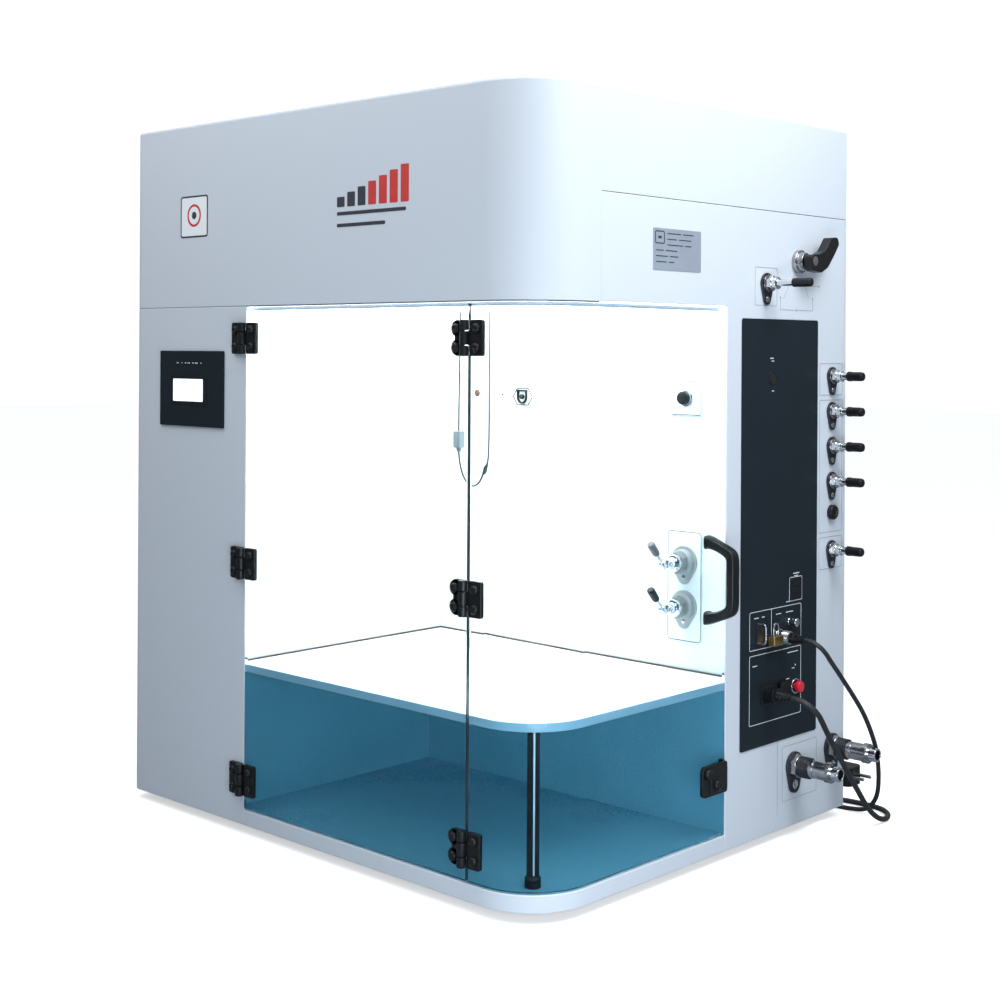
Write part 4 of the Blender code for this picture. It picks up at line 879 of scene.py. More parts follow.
PLATE_OUT = 0.0013
brass = surface("brass", (0.42, 0.28, 0.10), (0.66, 0.47, 0.20), (0.22, 0.40), 80.0, 400.0, 0.00006,
                Metallic=1.0)
chrome = surface("bright_chrome", (0.50, 0.51, 0.53), (0.86, 0.87, 0.89), (0.05, 0.16), 120.0, 300.0,
                 0.00003, stretch=(5.0, 1.0, 1.0), Metallic=1.0)
red = surface("red_plastic", (0.60, 0.010, 0.030), (0.74, 0.020, 0.055), (0.18, 0.30), 60.0, 500.0, 0.00004,
              Coat_Weight=0.4)
dark_hole = surface("dark_recess", (0.004, 0.005, 0.006), (0.008, 0.009, 0.010), (0.6, 0.8), 60.0, 500.0,
                    0.00004)


def stepped_box(low, high, radius, count, follow=1.0):
    """A rounded box on a sheet as a function of its inset: its corners (first, second) move in by the
    inset on each side, and its radius shrinks by follow times as much."""
    def outline(inset):
        corners = (low[0] + inset, low[1] + inset), (high[0] - inset, high[1] - inset)
        return rounded(rectangle(*corners), radius - inset * follow, count)
    return outline


def printed_box(low, high, width=0.0008, out=PLATE_OUT):
    """A thin printed frame on the side, from its lowest to its highest (back, up)."""
    return line_frame(on_side, stepped_box(low, high, 0.0022, 3), width, out - 0.0003, out + 0.00015)


def printed_bar(back, up, width, height, out=PLATE_OUT):
    """A thin printed stroke on the side, from its lowest (back, up)."""
    return prism(on_side, rectangle((back, up), (back + width, up + height)), out - 0.0003, out + 0.00015)


plate = rounded(rectangle((0.3703, 0.114), (0.5417, 0.6456)), 0.0030, 4)
shells = [(prism(on_side, plate, GAP, PLATE_OUT), panel_black)]
shells += [(printed_box((0.389, 0.235), (0.505, 0.283)), print_white),
           (printed_box((0.389, 0.1425), (0.505, 0.229)), print_white),
           (printed_box((0.4772, 0.2872), (0.5068, 0.3178)), print_white),
           (printed_bar(0.4366, 0.235, 0.0008, 0.048), print_white)]
for back, up, width, height in (
        (0.431, 0.596, 0.008, 0.0012), (0.434, 0.5925, 0.006, 0.0012), (0.435, 0.555, 0.005, 0.0012),
        (0.486, 0.3215, 0.014, 0.0012), (0.488, 0.3185, 0.009, 0.0010), (0.399, 0.274, 0.010, 0.0011),
        (0.416, 0.274, 0.006, 0.0011), (0.447, 0.274, 0.012, 0.0011), (0.470, 0.274, 0.016, 0.0011),
        (0.470, 0.287, 0.020, 0.0011), (0.474, 0.222, 0.024, 0.0011), (0.484, 0.201, 0.006, 0.0011),
        (0.470, 0.189, 0.008, 0.0011), (0.396, 0.2150, 0.010, 0.0011)):
    shells.append((printed_bar(back, up, width, height), print_white))
shells.append((turned([(0.0010, 0.0012), (PLATE_OUT + 0.0002, 0.0012)], at(0, 0.492, 0.205), OUTWARD,
                      sides=16), print_white))

inlet = rounded(rectangle((0.414, 0.164), (0.446, 0.192)), (0.0055, 0.0055, 0.003, 0.003), 5)
inlet_lip = rounded(rectangle((0.4165, 0.1665), (0.4435, 0.1895)), (0.0045, 0.0045, 0.002, 0.002), 5)
shells += [(loft([on_side(inlet, 0.0010), on_side(inlet, 0.0028), on_side(inlet_lip, 0.0028),
                  on_side(inlet_lip, 0.0010)], around=True), plastic),
           (prism(on_side, inlet_lip, 0.0005, 0.0016), dark_hole)]
port = rounded(rectangle((0.479, 0.289), (0.505, 0.316)), 0.0020, 4)
port_mouth = rounded(rectangle((0.484, 0.299), (0.500, 0.306)), 0.0008, 4)
shells += [(loft([on_side(port, 0.0010), on_side(port, 0.0022), on_side(port_mouth, 0.0022),
                  on_side(port_mouth, -0.004)]), plastic),
           (prism(on_side, rectangle((0.4855, 0.3010), (0.4985, 0.3024)), -0.0040, 0.0012), brass)]
socket = [(0.0012, 0.0100), (0.0024, 0.0100), (0.0024, 0.0080), (0.0012, 0.0080)]
shells.append((turned(socket, at(0, 0.455, 0.246), OUTWARD, around=True), chrome))
round_port = [(0.0010, 0.0090), (0.0017, 0.0090), (0.0022, 0.0082), (0.0022, 0.0072), (0.0008, 0.0068)]
shells += [(turned(round_port, at(0, 0.437, 0.572), OUTWARD, around=True), plastic),
           (turned([(0.0005, 0.0072), (0.0015, 0.0072)], at(0, 0.437, 0.572), OUTWARD), dark_hole)]
rocker_frame = [rectangle((0.4515, 0.1655), (0.4685, 0.1905)),
                rectangle((0.4505, 0.1645), (0.4695, 0.1915))]
shells.append((loft([on_side(np.array(rocker_frame[1]), 0.0010), on_side(np.array(rocker_frame[1]), 0.0022),
                     on_side(np.array(rocker_frame[0]), 0.0022),
                     on_side(np.array(rocker_frame[0]), 0.0010)], around=True), plastic))
lock_nut = [(0.0010, 0.0098), (0.0024, 0.0098), (0.0028, 0.0093), (0.0028, 0.0080), (0.0010, 0.0080)]
shells.append((turned(lock_nut, at(0, 0.492, 0.178), OUTWARD, sides=24, around=True), chrome))
piece("connection_plate", shells, replaces=["connector_panel"], bevel=0.0002,
      sharp=50.0)

shells = [(turned([(0.0010, 0.0052), (0.0024, 0.0052), (0.0030, 0.0046), (0.0120, 0.0056), (0.0132, 0.0050),
                   (0.0138, 0.0036)], at(0, 0.478, 0.262), OUTWARD, sides=28), chrome),
          (prism(on_side, rounded(rectangle((0.404, 0.240), (0.418, 0.269)), 0.0015, 3), 0.0010, 0.0024),
           plastic)]
bail = [(-0.0014, 0.411, 0.2665), (-0.0070, 0.4112, 0.2670), (-0.0098, 0.4115, 0.2640),
        (-0.0102, 0.4116, 0.2545),
        (-0.0098, 0.4115, 0.2455), (-0.0070, 0.4112, 0.2425), (-0.0014, 0.411, 0.2430)]
path = smooth_route(at(*np.array(bail).T), 0.0008)
shells.append((carried(path, BACKWARD, np.full(len(path), 0.0022), np.full(len(path), 0.0022), 12), chrome))
piece("panel_fittings", shells, bevel=0.0002, sharp=50.0)

lock_body = rounded(rectangle((0.4235, 0.2385), (0.4435, 0.2505)), 0.0015, 3)
shells = [(prism(on_side, lock_body, 0.0060, 0.0150), brass),
          (turned([(0.0010, 0.0042), (0.0064, 0.0042)], at(0, 0.4335, 0.245), OUTWARD, sides=24), chrome)]
bail = [(-0.0105, 0.4285, 0.2495), (-0.0105, 0.4285, 0.2600), (-0.0105, 0.4305, 0.2650),
        (-0.0105, 0.4365, 0.2650), (-0.0105, 0.4385, 0.2600), (-0.0105, 0.4385, 0.2495)]
path = smooth_route(at(*np.array(bail).T), 0.001)
shells.append((carried(path, OUTWARD, np.full(len(path), 0.0022), np.full(len(path), 0.0022), 12), chrome))
piece("padlock", shells, bevel=0.0003, sharp=50.0)

rocker_profile = np.array([(0.0065, 0.1888), (0.0050, 0.1835), (0.0045, 0.1780), (0.0050, 0.1725),
                           (0.0065, 0.1672),
                           (0.0052, 0.1668), (-0.0050, 0.1712), (-0.0050, 0.1848), (0.0052, 0.1892)])
rings = [at(-rocker_profile[:, 0], back, rocker_profile[:, 1]) for back in (0.4527, 0.4673)]
piece("mains_rocker", [(loft(rings), plastic)], "power_rocker", ["power_rocker"],
      bevel=0.0005)

profile = [(-0.0120, 0.0042), (0.0050, 0.0042), (0.0050, 0.0068), (0.0056, 0.0075), (0.0094, 0.0075),
           (0.0106, 0.0068), (0.0110, 0.0056), (0.0106, 0.0020)]
piece("breaker_cap", [(turned(profile, at(0, 0.492, 0.178), OUTWARD, sides=32), red)], "breaker_button",
      ["breaker_button"])


# ---- Gas ports and purge port ------------------------------------------------------------------
# Bulkhead fittings through the side panel: under each a dark teardrop plate that is painted shadow
# of the fitting on the panel, a bright hex nut and stem, and a black protection cap. Thin grey
# frames are printed round them on the paint.

# Dark steel for sleeves and rings, also for the teardrop plates that are painted shadow under fittings.
gunmetal_and_shadow = surface("gunmetal_and_painted_shadow", (0.025, 0.028, 0.034), (0.080, 0.086, 0.096), (0.28, 0.45), 70.0,
                   500.0, 0.00008, Metallic=0.8)
cap_black = surface("cap_black", (0.004, 0.004, 0.005), (0.012, 0.012, 0.013), (0.26, 0.38), 60.0, 1200.0,
                    0.00008, Specular_IOR_Level=0.32)
grey_print = surface("grey_print", (0.26, 0.29, 0.33), (0.34, 0.37, 0.41), (0.4, 0.5), 60.0, 900.0, 0.00002)


def teardrop(centre, radius, tail_radius, drop):
    """A teardrop outline: a circle with a smaller round tail below, joined by straight tangents."""
    lean = math.degrees(math.asin((radius - tail_radius) / drop))
    tail = (centre[0], centre[1] - drop)
    return np.vstack([circle(centre, radius, 25, -lean, 180 + lean),
                      circle(tail, tail_radius, 13, 180 + lean, 360 - lean)])


def shadow_teardrop_shells(centre, radius, tail_radius, drop, thickness):
    """A dark teardrop plate, painted shadow of the fitting above it, with a bright screw in its tail."""
    outline = teardrop(centre, radius, tail_radius, drop)
    screw = [(thickness, tail_radius * 0.55), (thickness + 0.0008, tail_radius * 0.50),
             (thickness + 0.0011, tail_radius * 0.30)]
    return [(prism(on_side, outline, GAP, GAP + thickness), gunmetal_and_shadow),
            (turned(screw, at(0, centre[0], centre[1] - drop), OUTWARD, sides=20), chrome)]


def hex_nut(radius, start, end, place):
    """A bright six-sided nut from start to end outward, its ends chamfered."""
    return (turned([(start, radius * 0.94), (start + 0.0006, radius), (end - 0.0006, radius),
                    (end, radius * 0.94)], place, OUTWARD, sides=6), chrome)


PORT_BACK = 0.577
PORT_LEVELS = (0.573, 0.527, 0.481, 0.435, 0.345)
shells = []
for level in PORT_LEVELS:
    place = at(0, PORT_BACK, level)
    shells += shadow_teardrop_shells((PORT_BACK, level), 0.0120, 0.0065, 0.0185, 0.0025)
    shells += [(turned([(0.0026, 0.0095), (0.0032, 0.0100), (0.0044, 0.0100), (0.0050, 0.0092)], place,
                       OUTWARD), steel), hex_nut(0.0088, 0.0050, 0.0110, place),
               (turned([(0.0108, 0.0070), (0.0170, 0.0070), (0.0174, 0.0062), (0.0182, 0.0050),
                        (0.0310, 0.0046)], place, OUTWARD), chrome),
               (turned([(0.0250, 0.0058), (0.0256, 0.0064), (0.0300, 0.0064), (0.0304, 0.0060),
                        (0.0440, 0.0060), (0.0470, 0.0054), (0.0480, 0.0044)], place, OUTWARD), cap_black)]
place = at(0, PORT_BACK, 0.394)
shells += [(turned([(0.0004, 0.0098), (0.0050, 0.0098), (0.0060, 0.0092), (0.0068, 0.0085),
                    (0.0070, 0.0060), (0.0050, 0.0048)], place, OUTWARD), cap_black)]
for low, high in ((0.548, 0.590), (0.368, 0.542), (0.320, 0.362)):
    shells.append((printed_box((0.548, low), (0.6040, high), 0.0007, 0.0002), grey_print))
piece("gas_ports", shells, replaces=["gas_port_rail"], bevel=0.0002, sharp=50.0)

PURGE = (0.423, 0.690)
place = at(0, *PURGE)
shells = shadow_teardrop_shells(PURGE, 0.0130, 0.0070, 0.0200, 0.0025)
shells += [(turned([(0.0026, 0.0100), (0.0032, 0.0105), (0.0046, 0.0105), (0.0052, 0.0096)], place,
                   OUTWARD), steel), hex_nut(0.0098, 0.0052, 0.0120, place),
           (turned([(0.0118, 0.0078), (0.0178, 0.0078), (0.0186, 0.0050), (0.0200, 0.0042),
                    (0.0440, 0.0042)], place, OUTWARD), chrome),
           (turned([(0.0400, 0.0050), (0.0406, 0.0056), (0.0630, 0.0056), (0.0655, 0.0050),
                    (0.0664, 0.0036)], place, OUTWARD), cap_black),
           (printed_box((0.3985, 0.6620), (0.4475, 0.7100), 0.0007, 0.0002), grey_print)]
piece("purge_fitting", shells, replaces=["purge_port"], bevel=0.0002, sharp=50.0)


# ---- Selector valve ----------------------------------------------------------------------------
# A four-way valve: its body sits behind the panel, a bright hub comes through, and a moulded black
# lever turns a quarter on it. A line scheme with dots is printed below.

SELECTOR = (0.495, 0.720)
place = at(0, *SELECTOR)
hub = [(0.0004, 0.0150), (0.0052, 0.0150), (0.0060, 0.0144), (0.0068, 0.0122), (0.0125, 0.0112),
       (0.0132, 0.0100)]
shells = [(turned(hub, place, OUTWARD), steel),
          (prism(on_side, rounded(rectangle((0.473, 0.698), (0.517, 0.742)), 0.003, 3), -0.050, -0.010),
           steel)]


def printed_line(start, end, width=0.0007):
    """A thin straight line printed on the paint between two places (back, up)."""
    start, end = np.array(start), np.array(end)
    along = (end - start) / np.linalg.norm(end - start)
    wide = np.array([-along[1], along[0]]) * width / 2
    return prism(on_side, [start - wide, end - wide, end + wide, start + wide], -0.0001, 0.00035)


for start, end in (((0.487, 0.706), (0.462, 0.672)), ((0.503, 0.706), (0.520, 0.674)),
                   ((0.455, 0.672), (0.455, 0.658)),
                   ((0.455, 0.658), (0.530, 0.658)), ((0.530, 0.658), (0.530, 0.672)),
                   ((0.520, 0.690), (0.545, 0.690))):
    shells.append((printed_line(start, end), grey_print))
for back, up in ((0.455, 0.673), (0.530, 0.673), (0.515, 0.690), (0.545, 0.690), (0.492, 0.658)):
    shells.append((turned([(-0.0001, 0.0015), (0.0004, 0.0015)], at(0, back, up), OUTWARD, sides=20),
                   grey_print))
piece("selector_body", shells, replaces=["selector_valve"], bevel=0.0004,
      sharp=50.0)

back, up = SELECTOR
outline = rounded([
    (back - 0.009, up + 0.008), (back - 0.007, up - 0.012), (back + 0.015, up - 0.014),
    (back + 0.030, up - 0.007),
    (back + 0.044, up + 0.008), (back + 0.057, up + 0.024), (back + 0.053, up + 0.033),
    (back + 0.038, up + 0.032),
    (back + 0.023, up + 0.014), (back + 0.010, up + 0.0095)],
    (0.006, 0.007, 0.007, 0.006, 0.012, 0.004, 0.004, 0.005, 0.009, 0.006), 5)
piece("selector_handle", [
    (prism(on_side, outline, 0.0136, 0.0262), cap_black),
    (turned([(0.0255, 0.0065), (0.0262, 0.0060), (0.0265, 0.0040)], place, OUTWARD, sides=24), chrome),
], "selector_lever", ["selector_lever"], bevel=0.0026, segments=4, sharp=50.0)


# ---- Coolant couplings -------------------------------------------------------------------------
# Two large quick couplings low on the side for a thermostat hose: dark teardrop plates that are
# painted shadow of the couplings, knurled sleeves in bright and dark bands, and open hose ends.

COOLANT_PLACES = ((0.490, 0.077), (0.580, 0.085))
shells = []
for centre in COOLANT_PLACES:
    place = at(0, *centre)
    # The teardrop plate under each coupling is painted shadow of the coupling.
    shells += shadow_teardrop_shells(centre, 0.0175, 0.0110, 0.0240, 0.0035)
    sleeve = [(0.0125, 0.0125), (0.0130, 0.0135)]
    for number in range(11):
        sleeve += [(0.0136 + 0.0011 * number, 0.0135), (0.0142 + 0.0011 * number, 0.0129)]
    sleeve += [(0.0262, 0.0135), (0.0270, 0.0120)]
    shells += [(turned([(0.0036, 0.0150), (0.0042, 0.0155), (0.0110, 0.0155), (0.0120, 0.0146)], place,
                       OUTWARD, sides=6), steel),
               (turned([(0.0118, 0.0118), (0.0128, 0.0118)], place, OUTWARD), gunmetal_and_shadow),
               (turned(sleeve, place, OUTWARD, sides=40), gunmetal_and_shadow),
               (turned([(0.0265, 0.0108), (0.0280, 0.0112), (0.0330, 0.0112), (0.0334, 0.0104),
                        (0.0350, 0.0104),
                        (0.0354, 0.0112), (0.0500, 0.0112), (0.0504, 0.0104)], place, OUTWARD), steel),
               (turned([(0.0500, 0.0104), (0.0506, 0.0128), (0.0575, 0.0128), (0.0584, 0.0120)], place,
                       OUTWARD), steel),
               (turned([(0.0580, 0.0090), (0.0690, 0.0090), (0.0697, 0.0084), (0.0697, 0.0066),
                        (0.0600, 0.0064), (0.0590, 0.0070)], place, OUTWARD, around=True), chrome),
               (turned([(0.0590, 0.0068), (0.0610, 0.0068)], place, OUTWARD), dark_hole)]
shells.append((printed_box((0.465, 0.034), (0.545, 0.104), 0.0007, 0.0002), grey_print))
shells.append((printed_line((0.454, 0.020), (0.454, 0.1135)), grey_print))
piece("quick_couplings", shells, replaces=["coolant_couplings"], bevel=0.0002,
      sharp=50.0)


# ---- Chamber fittings --------------------------------------------------------------------------
# On the back wall: two toggle valves on a white plate with a fine dark outline, a lamp switch on a
# white square, a hexagonal cable gland with a dark clamping ring, and two small studs.

wall = CHAMBER_BACK


def on_wall(outline, out):
    """Points (across, up) of an outline on the chamber's back wall, standing out into the chamber."""
    return at(outline[:, 0], wall - out, outline[:, 1])


# Matt nickel for the valve bodies, also for the teardrops under them, which are painted shadow.
nickel_and_shadow = surface("matt_nickel_and_shadow", (0.36, 0.37, 0.37), (0.50, 0.51, 0.51), (0.35, 0.50), 60.0, 500.0,
                     0.00005, Metallic=0.35)
nut_steel = surface("worn_nickel", (0.20, 0.21, 0.21), (0.32, 0.33, 0.33), (0.35, 0.50), 60.0, 500.0,
                    0.00005, Metallic=0.35)
cap_grey = surface("cap_grey", (0.13, 0.12, 0.13), (0.18, 0.17, 0.18), (0.35, 0.50), 60.0, 900.0, 0.00008)
bronze = surface("bronze_stud", (0.085, 0.038, 0.018), (0.125, 0.058, 0.028), (0.35, 0.50), 60.0, 500.0,
                 0.00005)
VALVE_ACROSS, VALVE_LEVELS, LEVER_OUT = 0.086, {"upper": 0.340, "lower": 0.284}, 0.046
plate = rounded(rectangle((0.060, 0.240), (0.112, 0.378)), 0.005, 5)
valve_plate_outline = stepped_box((0.060, 0.240), (0.112, 0.378), 0.005, 5)
shells = [(prism(on_wall, plate, GAP, 0.0020), enamel),
          (line_frame(on_wall, valve_plate_outline, 0.0009, 0.0018, 0.0022), plastic)]
for name, level in VALVE_LEVELS.items():
    place = at(VALVE_ACROSS, wall - GAP, level)
    # The pale teardrop under each valve is painted shadow of the valve on its white plate.
    outline = teardrop((VALVE_ACROSS, level), 0.0200, 0.0095, 0.0190)
    shells += [(prism(on_wall, outline, 0.0018, 0.0038), nickel_and_shadow),
               (turned([(0.0036, 0.0030), (0.0046, 0.0028), (0.0050, 0.0016)],
                       at(VALVE_ACROSS, wall, level - 0.0190), FORWARD, sides=20), chrome),
               (turned([(0.0036, 0.0160), (0.0110, 0.0156), (0.0120, 0.0148)], place, FORWARD), nickel_and_shadow),
               (turned([(0.0118, 0.0130), (0.0124, 0.0140), (0.0200, 0.0140), (0.0206, 0.0130)], place,
                       FORWARD, sides=6), nut_steel),
               (turned([(0.0200, 0.0100), (0.0206, 0.0112), (0.0262, 0.0112), (0.0270, 0.0100),
                        (0.0276, 0.0070),
                        (0.0330, 0.0066), (0.0355, 0.0060), (0.0363, 0.0045)], place, FORWARD), chrome)]
    pin = at(VALVE_ACROSS, wall - GAP - LEVER_OUT, level)
    lean = Vector((0, -0.9, 1)).normalized()
    cap = cap_grey if name == "upper" else cap_black
    ball = [(-0.0060, 0.0016), (-0.0054, 0.0034), (-0.0036, 0.0047), (-0.0010, 0.0050), (0.0030, 0.0050),
            (0.0052, 0.0044), (0.0062, 0.0027), (0.0190, 0.0025)]
    grip = [(0.0180, 0.0028), (0.0190, 0.0042), (0.0225, 0.0048), (0.0350, 0.0050), (0.0376, 0.0044),
            (0.0385, 0.0028)]
    piece(f"toggle_{name}", [(turned(ball, pin, lean), chrome), (turned(grip, pin, lean), cap)],
          f"inner_lever_{name}", [f"inner_lever_{name}"])
piece("toggle_valves", shells, replaces=["inner_valve_plate"], bevel=0.0002,
      sharp=50.0)

LAMP = (0.084, 0.546)
square = rounded(rectangle((LAMP[0] - 0.0235, LAMP[1] - 0.0220), (LAMP[0] + 0.0235, LAMP[1] + 0.0220)),
                 0.0015, 4)
switch_outline = stepped_box((LAMP[0] - 0.0230, LAMP[1] - 0.0215), (LAMP[0] + 0.0230, LAMP[1] + 0.0215),
                             0.0015, 4)
collar = [(0.0022, 0.0106), (0.0030, 0.0110), (0.0044, 0.0110), (0.0050, 0.0104), (0.0050, 0.0090),
          (0.0022, 0.0090)]
piece("switch_plate", [
    (prism(on_wall, square, 0.0021, 0.0027), enamel),
    (line_frame(on_wall, switch_outline, 0.0009, 0.0024, 0.0030), plastic),
    (turned(collar, at(LAMP[0], wall, LAMP[1]), FORWARD, around=True), chrome)],
    bevel=0.0002, sharp=50.0)
profile = [(-0.0120, 0.0042), (0.0060, 0.0042), (0.0060, 0.0078), (0.0066, 0.0085), (0.0110, 0.0085),
           (0.0124, 0.0078), (0.0130, 0.0062), (0.0126, 0.0030)]
piece("lamp_cap", [(turned(profile, at(LAMP[0], wall, LAMP[1]), FORWARD, sides=32), plastic)],
      "lamp_button",
      ["lamp_button"])

GLAND = (0.360, 0.541)
across, up = GLAND


def flange_outline(inset):
    """The elongated hexagon of the gland's flange, stepped in."""
    half = np.array([(-0.0195 + 1.3 * inset, 0.0), (-0.0110 + 0.6 * inset, inset - 0.0120),
                     (0.0110 - 0.6 * inset, inset - 0.0120)])
    return rounded(np.vstack([half, -half]) + GLAND, 0.0015, 3)


def clamp_outline(inset):
    """The clamp's outline: flat above, round below."""
    lower = circle((across, up - 0.0005), 0.0092 - inset, 25, 180.0, 360.0)
    return np.vstack([lower, [(across + 0.0092 - inset, up + 0.0095 - inset),
                              (across - 0.0092 + inset, up + 0.0095 - inset)]])


shells = [(prism(on_wall, flange_outline(0), GAP, 0.0050), enamel),
          (line_frame(on_wall, flange_outline, 0.0013, 0.0046, 0.0058), plastic),
          (line_frame(on_wall, clamp_outline, 0.0022, 0.0046, 0.0085), plastic),
          (turned([(0.0046, 0.0036), (0.0090, 0.0034), (0.0098, 0.0026)], at(across, wall, up), FORWARD,
                  sides=24), gunmetal_and_shadow)]
piece("hex_gland", shells, replaces=["cable_gland"], bevel=0.0002, sharp=50.0)

shells = [(turned([(0.0003, 0.0050), (0.0016, 0.0048), (0.0024, 0.0032)], at(0.450, wall, 0.544), FORWARD,
                  sides=24), bronze),
          (turned([(0.0003, 0.0018), (0.0012, 0.0014)], at(0.405, wall, 0.543), FORWARD, sides=16),
           gunmetal_and_shadow)]
piece("wall_studs", shells)

shells = []
for across in (0.2740, 0.2290):
    shells.append((turned([(0.0003, 0.0016), (0.0003, 0.0040), (0.0030, 0.0042), (0.0070, 0.0030),
                           (0.0075, 0.0016)],
                          at(across, SENSOR_BACK, CEILING_UNDER), (0, 0, -1), sides=20, around=True),
                   enamel))
piece("cable_grommets", shells)


# ---- Badges and nameplate ----------------------------------------------------------------------
# Thin printed film on the hood: a plain square badge with a ring and dot, and a row of rising bars
# over two strokes; on the side, a satin aluminium rating plate with ruled fields and no lettering.

ink_red = surface("red_film", (0.50, 0.030, 0.030), (0.62, 0.055, 0.045), (0.30, 0.42), 40.0, 900.0,
                  0.00002)
ink_dark = surface("dark_film", (0.030, 0.032, 0.045), (0.045, 0.048, 0.062), (0.30, 0.42), 40.0, 900.0,
                   0.00002)
film_white = surface("white_film", (0.78, 0.81, 0.84), (0.84, 0.87, 0.90), (0.30, 0.40), 30.0, 900.0,
                     0.00002)
FILM = (-0.0001, 0.00025)
badge_outline = stepped_box((0.582, 0.751), (0.642, 0.806), 0.004, 4, 0.6)
shells = [(prism(on_front, badge_outline(0.001), -0.0001, 0.0002), film_white),
          (line_frame(on_front, badge_outline, 0.0022, *FILM), ink_dark),
          (turned([(-0.0001, 0.0150), (0.0003, 0.0150), (0.0003, 0.0118), (-0.0001, 0.0118)],
                  at(0.612, 0, 0.7800), FORWARD, sides=48, around=True), ink_red),
          (turned([(-0.0001, 0.0050), (0.0003, 0.0050)], at(0.612, 0, 0.7800), FORWARD, sides=32),
           ink_dark)]
piece("square_badge", shells)

shells = []
for number in range(7):
    start = 0.325 - 0.0185 * number
    top = 0.7860 + 0.0052 * number
    bar = rounded(rectangle((start - 0.0135, 0.7740), (start, top)), 0.0012, 3)
    shells.append((prism(on_front, bar, *FILM), ink_red if number > 2 else ink_dark))
for low, ends in ((0.7640, (0.205, 0.325)), (0.7500, (0.240, 0.325))):
    stroke = rounded(rectangle((ends[0], low), (ends[1], low + 0.0042)), 0.0015, 3)
    shells.append((prism(on_front, stroke, *FILM), ink_dark))
piece("bar_emblem", shells)

name_low, name_high = (0.1935, 0.698), (0.285, 0.746)
shells = [(prism(on_side, rounded(rectangle(name_low, name_high), 0.0015, 4), -0.0001, 0.0007), satin_and_post_highlight)]
shells.append((printed_box((name_low[0] + 0.003, name_low[1] + 0.030),
                           (name_low[0] + 0.021, name_high[1] - 0.003), 0.0014, 0.0007), ink_dark))
shells.append((prism(on_side, rectangle((name_low[0] + 0.009, name_low[1] + 0.036),
                                        (name_low[0] + 0.015, name_low[1] + 0.039)), 0.0004, 0.0009),
               ink_dark))
for row, widths in enumerate(((0.026, 0.020), (0.018, 0.024), (0.030, 0.012), (0.014, 0.022),
                              (0.022, 0.016), (0.020, 0.010))):
    up = name_high[1] - 0.0062 - 0.0066 * row
    start = name_low[0] + (0.026 if row < 3 else 0.005)
    for width in widths:
        shells.append((printed_bar(start, up, width, 0.0012, 0.0007), ink_dark))
        start += width + 0.004
piece("rating_plate", shells)


# ---- Rear and insides --------------------------------------------------------------------------
# The rear panel is screwed on, with pressed louvres low down and a cooling fan behind a wire guard.
# Inside stand the power supply and the gas flow controllers.

FAN = (0.340, 0.480)
FAN_RADIUS = 0.052
zinc = surface("zinc_wire", (0.40, 0.41, 0.42), (0.60, 0.61, 0.62), (0.25, 0.40), 80.0, 500.0, 0.00004,
               Metallic=1.0)

fan_middle = at(FAN[0], DEPTH, FAN[1])
rim = FAN_RADIUS - GAP
shells = [(turned([(-0.022, rim - 0.003), (-0.022, rim), (GAP, rim), (GAP, rim + 0.006),
                   (0.0025, rim + 0.006),
                   (0.0032, rim + 0.005), (0.0032, rim - 0.003)], fan_middle, BACKWARD, sides=64,
                  around=True), plastic)]
WIRE = 0.0011
wire_angle = np.linspace(0, math.tau, 10, endpoint=False)
for radius in (0.012, 0.021, 0.030, 0.039, 0.048):
    section = np.column_stack([0.0058 + WIRE * np.cos(wire_angle), radius + WIRE * np.sin(wire_angle)])
    shells.append((turned(section, fan_middle, BACKWARD, sides=64, around=True), zinc))
for number in range(4):
    angle = math.pi / 4 + number * math.pi / 2
    spoke = Vector((math.cos(angle), 0, math.sin(angle)))
    start = Vector(fan_middle) + Vector(BACKWARD) * 0.0048 + spoke * 0.010
    shells.append((turned([(0, WIRE), (rim - 0.0085, WIRE)], start, spoke, sides=12), zinc))
piece("wire_guard", shells, replaces=["fan_guard"])

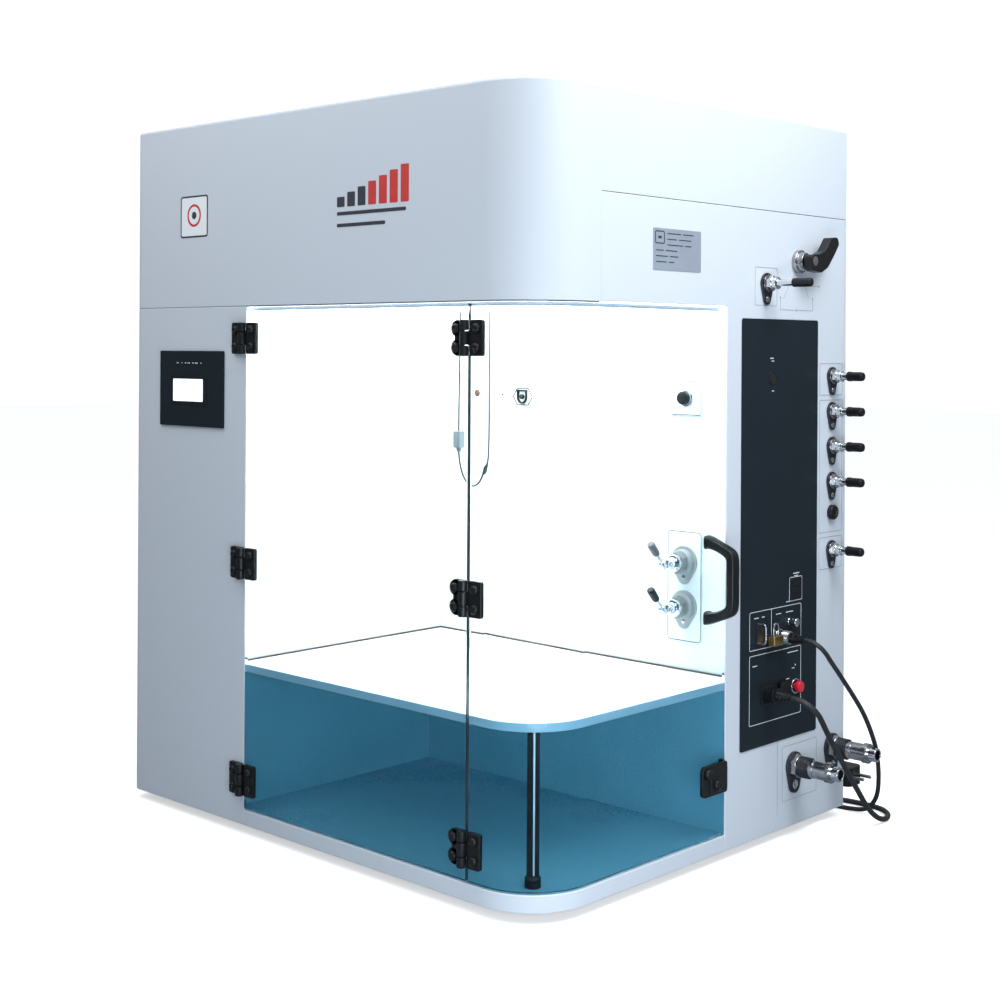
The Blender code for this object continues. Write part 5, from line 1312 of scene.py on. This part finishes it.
hub = at(FAN[0], DEPTH - 0.020, FAN[1])
shells = [(turned([(0, 0.0155), (0.0010, 0.0160), (0.0170, 0.0160), (0.0186, 0.0148), (0.0190, 0.0120)],
                  hub, BACKWARD), plastic)]
for number in range(7):
    angle = math.tau * number / 7
    spread = np.linspace(0, 1, 9)
    turn = angle + (spread - 0.5) * 0.62
    depth = 0.0020 + 0.0125 * spread
    rings = []
    for radius in np.linspace(0.014, 0.0445, 6):
        spokes = np.column_stack([np.cos(turn + radius * 4), np.zeros(9), np.sin(turn + radius * 4)])
        face = np.array(hub) + spokes * radius + np.outer(depth, BACKWARD)
        back_face = face[::-1] + np.array(BACKWARD) * 0.0016
        rings.append(np.vstack([face, back_face]))
    shells.append((loft(rings), plastic))
piece("fan_blades", shells, "fan_rotor", ["fan_rotor"])

shells = []
for across in (0.016, 0.246, 0.500, WIDTH - 0.016):
    for up in (0.014, 0.260, 0.520, 0.766):
        head = [(0.0, 0.0040), (0.0008, 0.0039), (0.0016, 0.0030), (0.0019, 0.0014), (0.0012, 0.0010)]
        shells.append((turned(head, at(across, DEPTH, up), BACKWARD, sides=20), zinc))
piece("rear_screws", shells)

shells = []
for column in range(2):
    for row in range(9):
        left, up = 0.150 + 0.250 * column, 0.110 + 0.018 * row
        swell = np.linspace(0, math.pi, 13)
        rings = []
        for share in np.linspace(0, 1, 11):
            height = math.sin(math.pi * share) ** 0.35
            lip = np.column_stack([np.full(13, left + 0.180 * share),
                                   up + 0.0110 * (1 - np.cos(swell)) / 2])
            out = 0.0001 + 0.0042 * height * np.sin(swell) ** 0.8
            under = at(lip[::-1, 0], DEPTH - 0.0005, lip[::-1, 1])
            rings.append(np.vstack([at(lip[:, 0], DEPTH + out, lip[:, 1]), under]))
        shells.append((loft(rings), powder))
piece("rear_louvres", shells)

supply_metal = surface("zinc_case", (0.46, 0.47, 0.48), (0.62, 0.63, 0.64), (0.30, 0.5), 30.0, 400.0,
                       0.00006, Metallic=1.0)
blue_enamel = surface("blue_enamel", (0.020, 0.090, 0.260), (0.040, 0.130, 0.330), (0.30, 0.45), 30.0,
                      800.0, 0.00005)
finish_as_built(supply_metal, "power_supply")
finish_as_built(blue_enamel, "flow_controllers")
